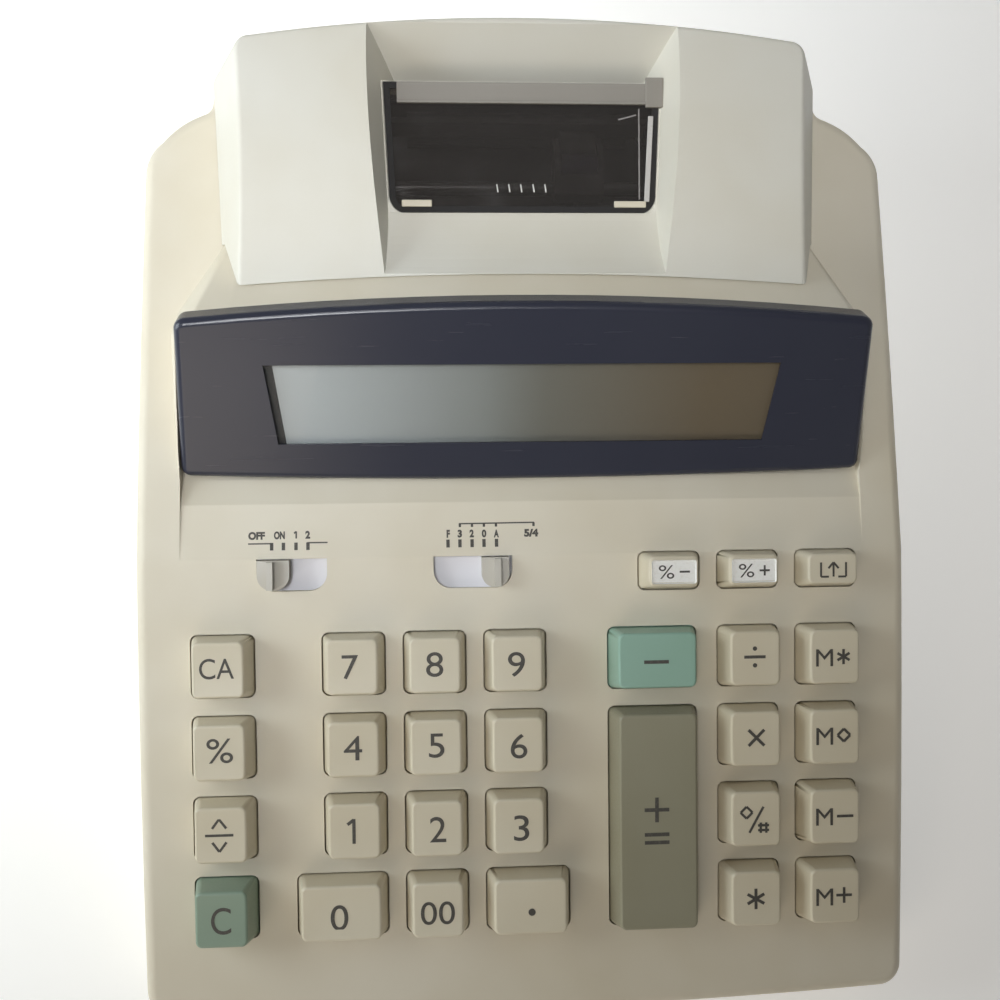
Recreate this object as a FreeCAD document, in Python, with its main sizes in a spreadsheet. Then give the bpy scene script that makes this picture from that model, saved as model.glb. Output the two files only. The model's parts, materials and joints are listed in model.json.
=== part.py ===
"""Desktop printing calculator with a raised display, 29 keys and a small serial printer.

Row frame: millimetres, X to the right, Y to the rear, Z up, origin on the table below the centre.
Deck frame: the plane of the key panel. V runs rearwards along the panel from the rear edge of the
first row of full-size keys, and N stands square to the panel. Its tilt is deck_tilt about X.
Display frame: the front face of the display bezel, tilted a further display_tilt. S runs up along
the face and H stands square to it.
"""
import FreeCAD
import Part
import Sketcher
import math
import os

doc = FreeCAD.newDocument("printing_calculator")
sheet = doc.addObject("Spreadsheet::Sheet", "Sizes")

SIZES = [
    # Whole body
    ("body_width", 195.0),
    ("body_depth", 246.5),
    ("front_height", 19.6),
    ("wall", 2.2),
    ("foot_height", 2.5),
    ("parting_height", 12.0),
    ("front_bow", 2.4),
    ("side_bow", 1.15),
    ("side_lean", 0.6),
    ("front_corner", 6.0),
    ("shoulder_inset", 1.9),
    ("shoulder_back", 32.2),
    ("shoulder_step", 4.2),
    ("shoulder_length", 7.6),
    ("shoulder_bow", 0.9),
    ("tail_width", 158.4),
    ("tail_back", 16.3),
    ("tail_nook", 1.4),
    ("tail_lean", 1.2),
    ("tail_corner", 6.0),
    ("rear_bow", 5.4),
    ("edge_round", 3.0),
    # Key panel plane
    ("deck_tilt", 9.5),
    ("panel_front", 98.4),
    ("front_setback", 0.5),
    ("crease_v", 18.5),
    ("cheek_fall", 6.6),
    # Keys
    ("key_pitch", 20.2),
    ("outer_column", 76.23),
    ("middle_column", 23.7),
    ("well_size", 16.0),
    ("wide_well", 23.0),
    ("point_well", 21.5),
    ("wide_column", 31.4),
    ("small_well", 10.0),
    ("small_key_height", 6.5),
    ("key_lip", 0.6),
    ("key_skirt_inset", 0.5),
    ("small_row_v", 19.0),
    ("key_gap", 0.3),
    ("well_corner", 1.9),
    ("key_height", 7.8),
    ("clear_key_height", 9.3),
    ("key_side_draft", 1.55),
    ("key_rear_draft", 0.5),
    ("key_front_draft", 1.3),
    ("key_corner", 1.6),
    ("key_top_round", 0.7),
    ("key_dish", 0.4),
    ("key_wall", 1.2),
    ("key_flange", 0.9),
    ("key_flange_height", 1.0),
    ("post_drop", 1.0),
    ("key_post", 5.0),
    ("key_travel", 2.5),
    ("rest_gap", 0.3),
    # Key mat and board
    ("dome_base", 10.0),
    ("mat_thickness", 1.0),
    ("board_thickness", 1.6),
    ("board_width", 169.0),
    ("board_front_v", 91.0),
    ("board_rear_v", 20.0),
    ("mat_front_v", 80.0),
    ("mat_margin", 0.5),
    ("chip_front_v", 50.0),
    ("chip_thickness", 2.4),
    # Slide switches
    ("left_slot_x", 58.9),
    ("left_slot_length", 17.4),
    ("right_slot_x", 13.8),
    ("right_slot_length", 19.8),
    ("slot_width", 8.1),
    ("slot_corner", 4.5),
    ("left_knob_length", 8.5),
    ("right_knob_length", 7.4),
    ("left_knob_x", 63.4),
    ("right_knob_x", 8.2),
    ("knob_rise", 1.4),
    ("knob_flange", 0.5),
    ("knob_flat", 0.4),
    ("slider_lap", 1.0),
    ("ridge_rise", 1.9),
    ("ridge_width", 1.6),
    ("left_ridge_shift", 0.7),
    ("right_ridge_shift", 0.5),
    ("stem_width", 2.4),
    ("stem_length", 3.0),
    ("backing_n", 3.2),
    ("backing_thickness", 1.0),
    ("backing_pad", 3.0),
    ("switch_height", 1.7),
    ("left_switch_travel", 8.9),
    ("right_switch_travel", 11.4),
    # Display
    ("display_tilt", 25.0),
    ("display_v", 65.3),
    ("display_n", 9.75),
    ("bezel_half_width", 86.0),
    ("bezel_taper", 1.8),
    ("bezel_top", 15.6),
    ("bezel_bottom", 31.0),
    ("bezel_top_bow", 3.9),
    ("bezel_bottom_bow", 1.8),
    ("bezel_corner", 3.0),
    ("bezel_thickness", 6.5),
    ("bezel_round", 2.0),
    ("lcd_half_top", 62.1),
    ("lcd_half_bottom", 59.7),
    ("lcd_top", 0.3),
    ("lcd_bottom", 20.4),
    ("lcd_band", 1.8),
    ("mask_thickness", 0.6),
    ("pane_thickness", 1.1),
    ("pane_lap", 1.2),
    ("lcd_thickness", 2.5),
    ("holder_lap", 5.0),
    ("holder_back", 12.2),
    ("frame_tilt", 15.5),
    ("frame_v", 32.0),
    ("frame_n", 3.5),
    ("dish_half_width", 86.3),
    ("dish_foot_v", 38.0),
    ("dish_foot_n", 4.9),
    ("dish_drop", 2.2),
    ("hump_front_v", 28.0),
    ("hump_depth", 14.0),
    ("hump_half_width", 88.2),
    ("hump_side_v", 82.6),
    ("hump_corner_x", 71.7),
    ("hump_corner_v", 106.0),
    ("hump_bow", 3.3),
    ("hump_half_high", 85.1),
    ("hump_side_v_high", 70.3),
    ("hump_corner_x_high", 82.5),
    ("hump_corner_v_high", 71.6),
    ("hump_bow_high", 4.4),
    ("hump_round", 2.5),
    # Printer cover
    ("cover_half_width", 69.3),
    ("cover_side_run", 0.45),
    ("cover_high_n", 10.0),
    ("cover_low_n", 20.0),
    ("cover_face_n", 6.0),
    ("cover_front_v", 80.0),
    ("cover_far_v", 160.0),
    ("cover_front_n", 2.6),
    ("cover_far_n", 0.9),
    ("cover_face_bow", 4.65),
    ("cover_rear_v", 151.5),
    ("cover_rear_bow", 5.4),
    ("cover_wall", 2.0),
    ("cover_gap", 0.4),
    ("cover_play", 0.15),
    ("inlet_n", 4.0),
    ("cover_corner", 4.5),
    ("cover_round", 1.5),
    ("cover_swing", 8.0),
    ("hinge_v", 144.0),
    ("hinge_n", 6.0),
    ("hinge_x", 62.5),
    ("hinge_ear", 4.5),
    ("hinge_lug", 6.0),
    ("hinge_pin", 3.0),
    ("hinge_play", 0.06),
    ("trough_front_v", 87.0),
    ("trough_wall", 2.6),
    ("trough_back_v", 153.0),
    ("trough_deep_n", 10.0),
    ("trough_high_n", 8.0),
    ("trough_front_low", 30.9),
    ("trough_front_high", 35.6),
    ("trough_rear_low", 31.8),
    ("trough_rear_high", 41.0),
    ("trough_floor_n", 1.9),
    ("ramp_top_n", 5.2),
    ("ramp_foot_v", 104.5),
    ("ramp_hollow", 1.2),
    ("slot_foot_v", 139.2),
    ("slot_foot_n", 9.0),
    ("trough_rear_v", 148.4),
    ("trough_rear_n", 2.0),
    ("window_half_front", 30.5),
    ("window_half_side", 33.4),
    ("window_half_rear", 34.6),
    ("window_corner_v", 4.5),
    ("window_end_v", 136.6),
    ("window_thickness", 1.5),
    ("window_ledge", 1.2),
    # Paper and roll arms
    ("paper_half_width", 31.0),
    ("roll_arm_length", 55.5),
    ("roll_arm_height", 4.6),
    ("roll_arm_thickness", 3.0),
    ("roll_arm_offset", 7.0),
    ("roll_stud", 6.4),
    ("roll_stud_length", 3.5),
    ("roll_pivot_x", 31.5),
    ("roll_pivot_y", 119.6),
    ("roll_hub", 6.0),
    ("recess_half_width", 40.0),
    ("recess_y", 114.25),
    ("recess_floor", 20.0),
    ("recess_height", 22.0),
    ("arm_pin", 3.0),
    ("bay_half_width", 68.0),
    ("bay_front_v", 100.0),
    ("bay_rear_v", 137.0),
    # Printer mechanism
    ("printer_half_width", 42.0),
    ("printer_floor", 26.0),
    ("printer_front_y", 70.0),
    ("printer_rear_y", 111.5),
    ("plate", 2.0),
    ("printer_low_top", 43.0),
    ("printer_rear_top", 41.0),
    ("printer_step_y", 83.0),
    ("printer_top", 49.0),
    ("rest_bar_y", 85.0),
    ("rest_bar_width", 3.3),
    ("rest_bar_height", 1.8),
    ("guide_thickness", 1.0),
    ("motor_diameter", 13.0),
    ("motor_length", 25.0),
    ("motor_shaft", 2.0),
    ("gear_module", 0.5),
    ("motor_teeth", 12.0),
    ("idler_teeth", 28.0),
    ("feed_teeth", 32.0),
    ("gear_width", 3.0),
    ("gear_offset", 0.8),
    ("tooth_half", 0.33),
    ("gear_axis_z", 35.2),
    ("feed_axis_y", 105.6),
    ("feed_roller_diameter", 9.0),
    ("feed_roller_half", 29.0),
    ("spindle", 3.0),
    ("bearing_play", 0.05),
    ("rail_y", 85.2),
    ("rail_z", 45.6),
    ("rail_diameter", 3.0),
    ("type_wheel_y", 96.6),
    ("type_wheel_z", 44.5),
    ("type_wheel_diameter", 8.4),
    ("ink_roller_diameter", 5.0),
    ("ink_roller_lean", 30.0),
    ("carriage_x", 14.7),
    ("carriage_width", 12.6),
    ("carriage_half_block", 2.7),
    ("carriage_cheek", 1.5),
    ("carriage_top", 50.2),
    ("carriage_rear_y", 98.6),
    ("platen_y", 101.1),
    ("platen_thickness", 1.5),
    ("platen_bottom", 41.0),
    ("axle", 1.6),
    # Battery bay
    ("cell_diameter", 14.2),
    ("cell_length", 50.2),
    ("bay_y", 20.0),
    ("bay_half_length", 54.0),
    ("bay_half_depth", 15.6),
    ("bay_ceiling", 19.5),
    ("bay_wall", 1.6),
    ("bay_rim", 2.0),
    ("bay_rim_width", 3.6),
    ("door_margin", 2.0),
    ("door_thickness", 1.7),
    ("door_travel", 4.0),
    ("door_tongue", 1.6),
    ("door_tongue_x", 35.0),
    ("door_lip", 0.6),
    ("grip_depth", 0.5),
    ("grip_width", 1.6),
    ("cell_nub", 1.0),
    ("cell_nub_diameter", 5.5),
    ("contact_thickness", 0.5),
    ("contact_height", 9.0),
    ("contact_spring", 9.0),
    # Fasteners and jack
    ("screw_shaft", 2.6),
    ("screw_head", 5.4),
    ("screw_head_height", 1.6),
    ("screw_length", 8.0),
    ("screw_play", 0.05),
    ("boss", 6.6),
    ("low_boss", 9.0),
    ("case_screw_front_x", 88.5),
    ("case_screw_front_y", 108.0),
    ("case_screw_middle_x", 89.0),
    ("case_screw_middle_y", 20.0),
    ("case_screw_rear_x", 85.0),
    ("case_screw_rear_y", 88.0),
    ("board_post_x", 64.0),
    ("board_post_middle_x", 15.0),
    ("board_post_right_x", 66.0),
    ("board_post_v", 12.0),
    ("board_post_front_v", 84.0),
    ("lip_height", 2.0),
    ("lip_thickness", 1.2),
    ("base_inset", 1.6),
    ("head_pocket", 5.0),
    ("foot_diameter", 11.0),
    ("foot_round", 0.6),
    ("foot_seat", 0.8),
    ("front_foot_x", 80.0),
    ("front_foot_y", 97.0),
    ("rear_foot_x", 74.0),
    ("rear_foot_y", 98.0),
    ("printer_post_x", 36.0),
    ("printer_post_front_y", 73.6),
    ("printer_post_rear_y", 107.0),
    ("jack_x", 56.0),
    ("jack_z", 25.0),
    ("jack_bore", 5.8),
    ("jack_depth", 9.0),
    ("jack_width", 9.0),
    ("jack_length", 12.8),
    ("jack_rear_y", 116.8),
    ("jack_opening", 8.0),
]
for row, (alias, value) in enumerate(SIZES, start=1):
    sheet.set("A%d" % row, alias)
    sheet.set("B%d" % row, str(value))
    sheet.setAlias("B%d" % row, alias)
doc.recompute()

ALIASES = [alias for alias, value in SIZES]
ALIASES.sort(key=len, reverse=True)


# Expressions and placement

DECK_Y = "(front_setback * -1 - body_depth / 2 + panel_front * cos(deck_tilt))"
DECK_Z = "(front_height + panel_front * sin(deck_tilt))"


def sized(text):
    """Turn sheet aliases in a formula into references that an expression understands."""
    words = []
    word = ""
    for letter in text + " ":
        if letter.isalnum() or letter == "_":
            word += letter
            continue
        if word in ALIASES:
            word = "Sizes." + word
        words.append(word + letter)
        word = ""
    return "".join(words).strip()


def number(text):
    """The present value of a formula."""
    return float(sheet.evalExpression(sized(str(text))))


def bind(thing, prop, text):
    """Set a property from a formula and keep it bound to the sheet."""
    thing.setExpression(prop, sized(str(text)))


def row_y(v, n):
    """Row Y of a point given on the deck."""
    return "(%s + (%s) * cos(deck_tilt) - (%s) * sin(deck_tilt))" % (DECK_Y, v, n)


def row_z(v, n):
    """Row Z of a point given on the deck."""
    return "(%s + (%s) * sin(deck_tilt) + (%s) * cos(deck_tilt))" % (DECK_Z, v, n)


def display_v(s, h):
    """Deck V of a point given on the display face."""
    return "(display_v + (%s) * cos(display_tilt) - (%s) * sin(display_tilt))" % (s, h)


def display_n(s, h):
    """Deck N of a point given on the display face."""
    return "(display_n + (%s) * sin(display_tilt) + (%s) * cos(display_tilt))" % (s, h)


def place(thing, x, y, z):
    """Put a thing's origin at a row point, unturned."""
    bind(thing, "Placement.Base.x", x)
    bind(thing, "Placement.Base.y", y)
    bind(thing, "Placement.Base.z", z)
    return thing


def place_on_deck(thing, x, v, n):
    """Put a thing's origin at a deck point and lay it along the deck."""
    thing.Placement = FreeCAD.Placement(
        FreeCAD.Vector(), FreeCAD.Rotation(FreeCAD.Vector(1, 0, 0), number("deck_tilt")))
    bind(thing, "Placement.Rotation.Angle", "deck_tilt")
    return place(thing, x, row_y(v, n), row_z(v, n))


def place_on_display(thing, x, s, h):
    """Put a thing's origin at a display point and lay it along the display face."""
    place_on_deck(thing, x, display_v(s, h), display_n(s, h))
    bind(thing, "Placement.Rotation.Angle", "deck_tilt + display_tilt")
    return thing


AXES = {
    "x": FreeCAD.Rotation(FreeCAD.Vector(0, 1, 0), 90),
    "y": FreeCAD.Rotation(FreeCAD.Vector(1, 0, 0), -90),
    "z": FreeCAD.Rotation(),
}
SIDEWAYS = FreeCAD.Rotation(FreeCAD.Vector(1, 1, 1), 120)


def block(label, length, width, height):
    """A box bound to the sheet, still at the origin."""
    box = doc.addObject("Part::Box", label)
    bind(box, "Length", length)
    bind(box, "Width", width)
    bind(box, "Height", height)
    return box


def row_block(label, x0, x1, y0, y1, z0, z1):
    """A box between two corners of the row frame."""
    box = block(label, "(%s) - (%s)" % (x1, x0), "(%s) - (%s)" % (y1, y0), "(%s) - (%s)" % (z1, z0))
    return place(box, x0, y0, z0)


def deck_block(label, x0, x1, v0, v1, n0, n1):
    """A box between two corners of the deck frame."""
    box = block(label, "(%s) - (%s)" % (x1, x0), "(%s) - (%s)" % (v1, v0), "(%s) - (%s)" % (n1, n0))
    return place_on_deck(box, x0, v0, n0)


def display_block(label, x0, x1, s0, s1, h0, h1):
    """A box between two corners of the display frame."""
    box = block(label, "(%s) - (%s)" % (x1, x0), "(%s) - (%s)" % (s1, s0), "(%s) - (%s)" % (h1, h0))
    return place_on_display(box, x0, s0, h0)


def rod(label, diameter, length, axis, x, y, z):
    """A cylinder that starts at a row point and runs along a row axis."""
    cylinder = doc.addObject("Part::Cylinder", label)
    cylinder.Placement = FreeCAD.Placement(FreeCAD.Vector(), AXES[axis])
    bind(cylinder, "Radius", "(%s) / 2" % diameter)
    bind(cylinder, "Height", length)
    return place(cylinder, x, y, z)


def deck_post(label, diameter, x, v, n0, n1):
    """A cylinder square to the deck between two heights."""
    cylinder = doc.addObject("Part::Cylinder", label)
    bind(cylinder, "Radius", "(%s) / 2" % diameter)
    bind(cylinder, "Height", "(%s) - (%s)" % (n1, n0))
    return place_on_deck(cylinder, x, v, n0)


def cut(label, base, tool):
    """One shape less another."""
    result = doc.addObject("Part::Cut", label)
    result.Base = base
    result.Tool = tool
    return result


def cut_each(label, base, tools):
    """One shape less several others, taken away one after another."""
    for tool in tools[:-1]:
        base = cut(label + "_less_" + tool.Name, base, tool)
    return cut(label, base, tools[-1])


def joined(label, *shapes):
    """Shapes fused into one."""
    result = doc.addObject("Part::MultiFuse", label)
    result.Shapes = list(shapes)
    return result


def common(label, *shapes):
    """What all the shapes share."""
    result = doc.addObject("Part::MultiCommon", label)
    result.Shapes = list(shapes)
    return result


def group(label, *shapes):
    """Separate solids kept together in one node."""
    result = doc.addObject("Part::Compound", label)
    result.Links = list(shapes)
    return result


def outline(label, corners, sketch=None):
    """A closed, fully bound sketch. A corner is (x, y) or (x, y, sagitta of the arc that leaves it).

    Corners run anticlockwise. A positive sagitta bows the arc outwards, a negative one inwards.
    """
    if sketch is None:
        sketch = doc.addObject("Sketcher::SketchObject", label)
    spots = [FreeCAD.Vector(number(c[0]), number(c[1]), 0) for c in corners]
    count = len(corners)
    ends = []
    for index, corner in enumerate(corners):
        start = spots[index]
        finish = spots[(index + 1) % count]
        if len(corner) == 2:
            geometry = Part.LineSegment(start, finish)
            ends.append((1, 2))
        else:
            sagitta = number(corner[2])
            along = finish - start
            outward = FreeCAD.Vector(along.y, -along.x, 0).normalize()
            middle = (start + finish) * 0.5 + outward * sagitta
            if sagitta > 0:
                geometry = Part.Arc(start, middle, finish)
                ends.append((1, 2))
            else:
                geometry = Part.Arc(finish, middle, start)
                ends.append((2, 1))
        sketch.addGeometry(geometry, False)
    for index, corner in enumerate(corners):
        following = (index + 1) % count
        first, last = ends[index]
        sketch.addConstraint(Sketcher.Constraint(
            "Coincident", index, last, following, ends[following][0]))
        for kind, text, value in (("DistanceX", corner[0], spots[index].x),
                                  ("DistanceY", corner[1], spots[index].y)):
            name = sketch.addConstraint(Sketcher.Constraint(kind, -1, 1, index, first, value))
            bind(sketch, "Constraints[%d]" % name, text)
    for index, corner in enumerate(corners):
        if len(corner) == 2:
            continue
        x2, y2 = corners[(index + 1) % count][:2]
        chord = "(pow((%s) - (%s); 2) + pow((%s) - (%s); 2))" % (x2, corner[0], y2, corner[1])
        radius = "(%s / 4 + pow(%s; 2)) / (2 * abs(%s))" % (chord, corner[2], corner[2])
        name = sketch.addConstraint(Sketcher.Constraint("Radius", index, number(radius)))
        bind(sketch, "Constraints[%d]" % name, radius)
    return sketch


def mirrored(half, closing=None):
    """The whole outline from the corners of its right half, which start at the front.

    closing is the sagitta of the arc across the front, where there is one.
    """
    left = []
    for index in range(len(half) - 1, -1, -1):
        x, y = half[index][:2]
        leaving = half[index - 1] if index > 0 else None
        corner = ["-(%s)" % x, y]
        if leaving is not None and len(leaving) == 3:
            corner.append(leaving[2])
        if leaving is None and closing is not None:
            corner.append(closing)
        left.append(tuple(corner))
    return half + left


def sideways(label, corners, half_width, x="0"):
    """A side profile of row Y and Z points, stretched both ways along X."""
    sketch = outline(label + "_profile", corners)
    sketch.Placement = FreeCAD.Placement(FreeCAD.Vector(), SIDEWAYS)
    bind(sketch, "Placement.Base.x", x)
    solid = doc.addObject("Part::Extrusion", label)
    solid.Base = sketch
    solid.DirMode = "Custom"
    solid.Dir = FreeCAD.Vector(1, 0, 0)
    bind(solid, "LengthFwd", half_width)
    bind(solid, "LengthRev", half_width)
    solid.Solid = True
    return solid


def deck_profile(label, corners, half_width, x="0"):
    """A side profile of deck V and N points, stretched both ways along X."""
    return sideways(label, [(row_y(c[0], c[1]), row_z(c[0], c[1])) + tuple(c[2:]) for c in corners],
                    half_width, x)


def deck_loft(label, low_corners, low_n, high_corners, high_n):
    """A solid between two outlines that lie in planes along the deck."""
    low = outline(label + "_low", low_corners)
    high = outline(label + "_high", high_corners)
    place_on_deck(low, "0", "0", low_n)
    place_on_deck(high, "0", "0", high_n)
    solid = doc.addObject("Part::Loft", label)
    solid.Sections = [low, high]
    solid.Solid = True
    solid.Ruled = True
    return solid


def edges_where(shape, test):
    """Numbers of the edges that pass a test, counted from 1."""
    return [index for index, edge in enumerate(shape.Edges, start=1) if test(edge)]


def rounded(label, base, radius, test):
    """A copy of a solid with the edges that pass a test rounded."""
    base.recompute(True)
    value = number(radius)
    result = doc.addObject("Part::Fillet", label)
    result.Base = base
    result.Edges = [(index, value, value) for index in edges_where(base.Shape, test)]
    return result


# Heights of the key stack, on the deck

FLANGE_TOP = "(-wall - rest_gap)"
FLANGE_BOTTOM = "(%s - key_flange_height)" % FLANGE_TOP
POST_BOTTOM = "(%s - post_drop)" % FLANGE_BOTTOM
MAT_TOP = "(%s - key_travel)" % POST_BOTTOM
BOARD_TOP = "(%s - mat_thickness)" % MAT_TOP
BOARD_BOTTOM = "(%s - board_thickness)" % BOARD_TOP

# Key forms: name, well width, well length, height

KEY_FORMS = [
    ("square", "well_size", "well_size", "key_height"),
    ("tall", "well_size", "well_size", "clear_key_height"),
    ("wide", "wide_well", "well_size", "key_height"),
    ("point", "point_well", "well_size", "key_height"),
    ("long", "wide_well", "(2 * key_pitch + well_size)", "key_height"),
    ("small", "well_size", "small_well", "small_key_height"),
]

# Keys: node, form, column centre, rear edge of its well

SECOND_ROW = "(-key_pitch)"
THIRD_ROW = "(-2 * key_pitch)"
FOURTH_ROW = "(-3 * key_pitch)"
SEVEN = "(-middle_column - key_pitch)"
EIGHT = "(-middle_column)"
NINE = "(-middle_column + key_pitch)"
DIVIDE = "(outer_column - key_pitch)"
RATE = "(outer_column - 2 * key_pitch)"
ZERO = "(-middle_column - key_pitch + (well_size - wide_well) / 2)"
POINT = "(-middle_column + key_pitch + (point_well - well_size) / 2)"

KEYS = [
    ("key_ca", "square", "-outer_column", "0"),
    ("key_percent", "square", "-outer_column", SECOND_ROW),
    ("key_markup", "square", "-outer_column", THIRD_ROW),
    ("key_c", "tall", "-outer_column", FOURTH_ROW),
    ("key_7", "square", SEVEN, "0"),
    ("key_8", "square", EIGHT, "0"),
    ("key_9", "square", NINE, "0"),
    ("key_4", "square", SEVEN, SECOND_ROW),
    ("key_5", "square", EIGHT, SECOND_ROW),
    ("key_6", "square", NINE, SECOND_ROW),
    ("key_1", "square", SEVEN, THIRD_ROW),
    ("key_2", "square", EIGHT, THIRD_ROW),
    ("key_3", "square", NINE, THIRD_ROW),
    ("key_0", "wide", ZERO, FOURTH_ROW),
    ("key_00", "square", EIGHT, FOURTH_ROW),
    ("key_point", "point", POINT, FOURTH_ROW),
    ("key_minus", "wide", "wide_column", "0"),
    ("key_plus_equals", "long", "wide_column", SECOND_ROW),
    ("key_divide", "square", DIVIDE, "0"),
    ("key_times", "square", DIVIDE, SECOND_ROW),
    ("key_subtotal", "square", DIVIDE, THIRD_ROW),
    ("key_total", "square", DIVIDE, FOURTH_ROW),
    ("key_memory_total", "square", "outer_column", "0"),
    ("key_memory_subtotal", "square", "outer_column", SECOND_ROW),
    ("key_memory_minus", "square", "outer_column", THIRD_ROW),
    ("key_memory_plus", "square", "outer_column", FOURTH_ROW),
    ("key_rate_minus", "small", RATE, "small_row_v"),
    ("key_rate_plus", "small", DIVIDE, "small_row_v"),
    ("key_feed", "small", "outer_column", "small_row_v"),
]


def bind_all(thing, sizes):
    """Bind several properties of a thing."""
    for prop, text in sizes:
        bind(thing, prop, text)
    return thing


def key_form(name, width, length, height):
    """A hollow moulded key cap with a dished top, a flange that holds it in, and a post.

    Its origin is the middle of its well's rear edge, level with the panel.
    """
    body = doc.addObject("PartDesign::Body", name)
    half = "(%s / 2 - key_gap)" % width

    cap = body.newObject("PartDesign::AdditiveWedge", name + "_cap")
    cap.Placement = FreeCAD.Placement(
        FreeCAD.Vector(), FreeCAD.Rotation(FreeCAD.Vector(1, 0, 0), 90))
    bind_all(cap, [
        ("Xmin", "-" + half), ("Xmax", half),
        ("Ymin", "-key_lip"), ("Ymax", height),
        ("Zmin", "key_gap"), ("Zmax", "%s - key_gap" % length),
        ("X2min", "key_side_draft - " + half), ("X2max", half + " - key_side_draft"),
        ("Z2min", "key_gap + key_rear_draft"),
        ("Z2max", "%s - key_gap - key_front_draft" % length)])
    cap.recompute(True)
    tall = number("key_height") / 3
    corners = edges_where(cap.Shape, lambda edge: edge.BoundBox.ZLength > tall)
    sides = body.newObject("PartDesign::Fillet", name + "_corners")
    sides.Base = (cap, ["Edge%d" % index for index in corners])
    bind(sides, "Radius", "key_corner")

    # The dish's cylinder crosses the top just outside its front and rear edges
    reach = "((%s) / 2)" % length
    radius = "((pow(%s; 2) + pow(key_dish; 2)) / (2 * key_dish))" % reach
    dish = body.newObject("PartDesign::SubtractiveCylinder", name + "_dish")
    dish.Placement = FreeCAD.Placement(FreeCAD.Vector(), AXES["x"])
    bind_all(dish, [
        ("Radius", radius), ("Height", width),
        ("Placement.Base.x", "-(%s) / 2" % width),
        ("Placement.Base.y", "-(%s) / 2 + (key_front_draft - key_rear_draft) / 2" % length),
        ("Placement.Base.z", "%s - key_dish + %s" % (height, radius))])
    dish.recompute(True)
    bowl = [face for face in dish.Shape.Faces
            if face.Surface.TypeId == "Part::GeomCylinder" and face.Surface.Radius > 2 * tall + 4]
    rim = [edge for face in bowl for edge in face.Edges]
    found = edges_where(dish.Shape, lambda edge: any(edge.isSame(other) for other in rim))
    top = body.newObject("PartDesign::Fillet", name + "_edge")
    top.Base = (dish, ["Edge%d" % index for index in found])
    bind(top, "Radius", "key_top_round")

    inset = "(key_gap + key_skirt_inset)"
    skirt = body.newObject("PartDesign::AdditiveBox", name + "_skirt")
    bind_all(skirt, [
        ("Length", "%s - 2 * %s" % (width, inset)),
        ("Width", "%s - 2 * %s" % (length, inset)),
        ("Height", "-" + FLANGE_BOTTOM),
        ("Placement.Base.x", "%s - %s / 2" % (inset, width)),
        ("Placement.Base.y", "%s - (%s)" % (inset, length)),
        ("Placement.Base.z", FLANGE_BOTTOM)])
    flange = body.newObject("PartDesign::AdditiveBox", name + "_flange")
    bind_all(flange, [
        ("Length", "%s + 2 * key_flange" % width),
        ("Width", "%s + 2 * key_flange" % length),
        ("Height", "key_flange_height"),
        ("Placement.Base.x", "-key_flange - %s / 2" % width),
        ("Placement.Base.y", "-key_flange - (%s)" % length),
        ("Placement.Base.z", FLANGE_BOTTOM)])
    hollow_inset = "(key_gap + key_side_draft + key_wall)"
    hollow = body.newObject("PartDesign::SubtractiveBox", name + "_hollow")
    bind_all(hollow, [
        ("Length", "%s - 2 * %s" % (width, hollow_inset)),
        ("Width", "%s - 2 * %s" % (length, hollow_inset)),
        ("Height", "%s - key_dish - key_wall - %s" % (height, FLANGE_BOTTOM)),
        ("Placement.Base.x", "%s - %s / 2" % (hollow_inset, width)),
        ("Placement.Base.y", "%s - (%s)" % (hollow_inset, length)),
        ("Placement.Base.z", FLANGE_BOTTOM)])
    post = body.newObject("PartDesign::AdditiveCylinder", name + "_post")
    bind_all(post, [
        ("Radius", "key_post / 2"),
        ("Height", "%s - key_dish - key_wall / 2 - %s" % (height, POST_BOTTOM)),
        ("Placement.Base.y", "-(%s) / 2" % length),
        ("Placement.Base.z", POST_BOTTOM)])
    body.Tip = post
    return body


forms = {}
wells = {}
for form, width, length, height in KEY_FORMS:
    forms[form] = key_form(form + "_key", width, length, height)
    wells[form] = (width, length)

nodes = {}
for node, form, x, v in KEYS:
    nodes[node] = place_on_deck(group(node, forms[form]), x, v, "0")


# Case plan, top and hump

REACH = "body_depth"
CORNER_BOW = "0.293 * front_corner"
CHEEK_SLOPE = "tan(cheek_fall)"

CASE_PLAN = mirrored([
    ("body_width / 2 - side_lean - front_corner", "front_bow - body_depth / 2", CORNER_BOW),
    ("body_width / 2 - side_lean", "front_bow + front_corner - body_depth / 2", "side_bow"),
    ("body_width / 2 - shoulder_inset", "body_depth / 2 - shoulder_back", "shoulder_bow"),
    ("body_width / 2 - shoulder_inset - shoulder_step",
     "body_depth / 2 - shoulder_back + shoulder_length", "shoulder_bow"),
    ("tail_width / 2 + tail_nook", "body_depth / 2 - tail_back - tail_nook / 2", "-0.23 * tail_nook"),
    ("tail_width / 2 - tail_nook / 4", "body_depth / 2 - tail_back + tail_nook"),
    ("tail_width / 2 - tail_lean", "body_depth / 2 - rear_bow - 0.7 * tail_corner",
     "0.18 * tail_corner"),
    ("tail_width / 2 - tail_lean - tail_corner", "body_depth / 2 - rear_bow", "rear_bow"),
], "front_bow")


def cheek_n(v, drop="0"):
    """Deck N of the tray's top behind the crease, or of a surface a little below it."""
    return "((crease_v - (%s)) * %s - (%s))" % (v, CHEEK_SLOPE, drop)


def under_top(label, drop, bottom):
    """All that lies below the tray's top, or below a surface a little under it."""
    front = "(-panel_front - 2 * wall)"
    return sideways(label, [
        (row_y(front, "-" + drop), bottom),
        (row_y(REACH, cheek_n(REACH, drop)), bottom),
        (row_y(REACH, cheek_n(REACH, drop)), row_z(REACH, cheek_n(REACH, drop))),
        (row_y("crease_v", "-" + drop), row_z("crease_v", "-" + drop)),
        (row_y(front, "-" + drop), row_z(front, "-" + drop)),
    ], "body_width")


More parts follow.
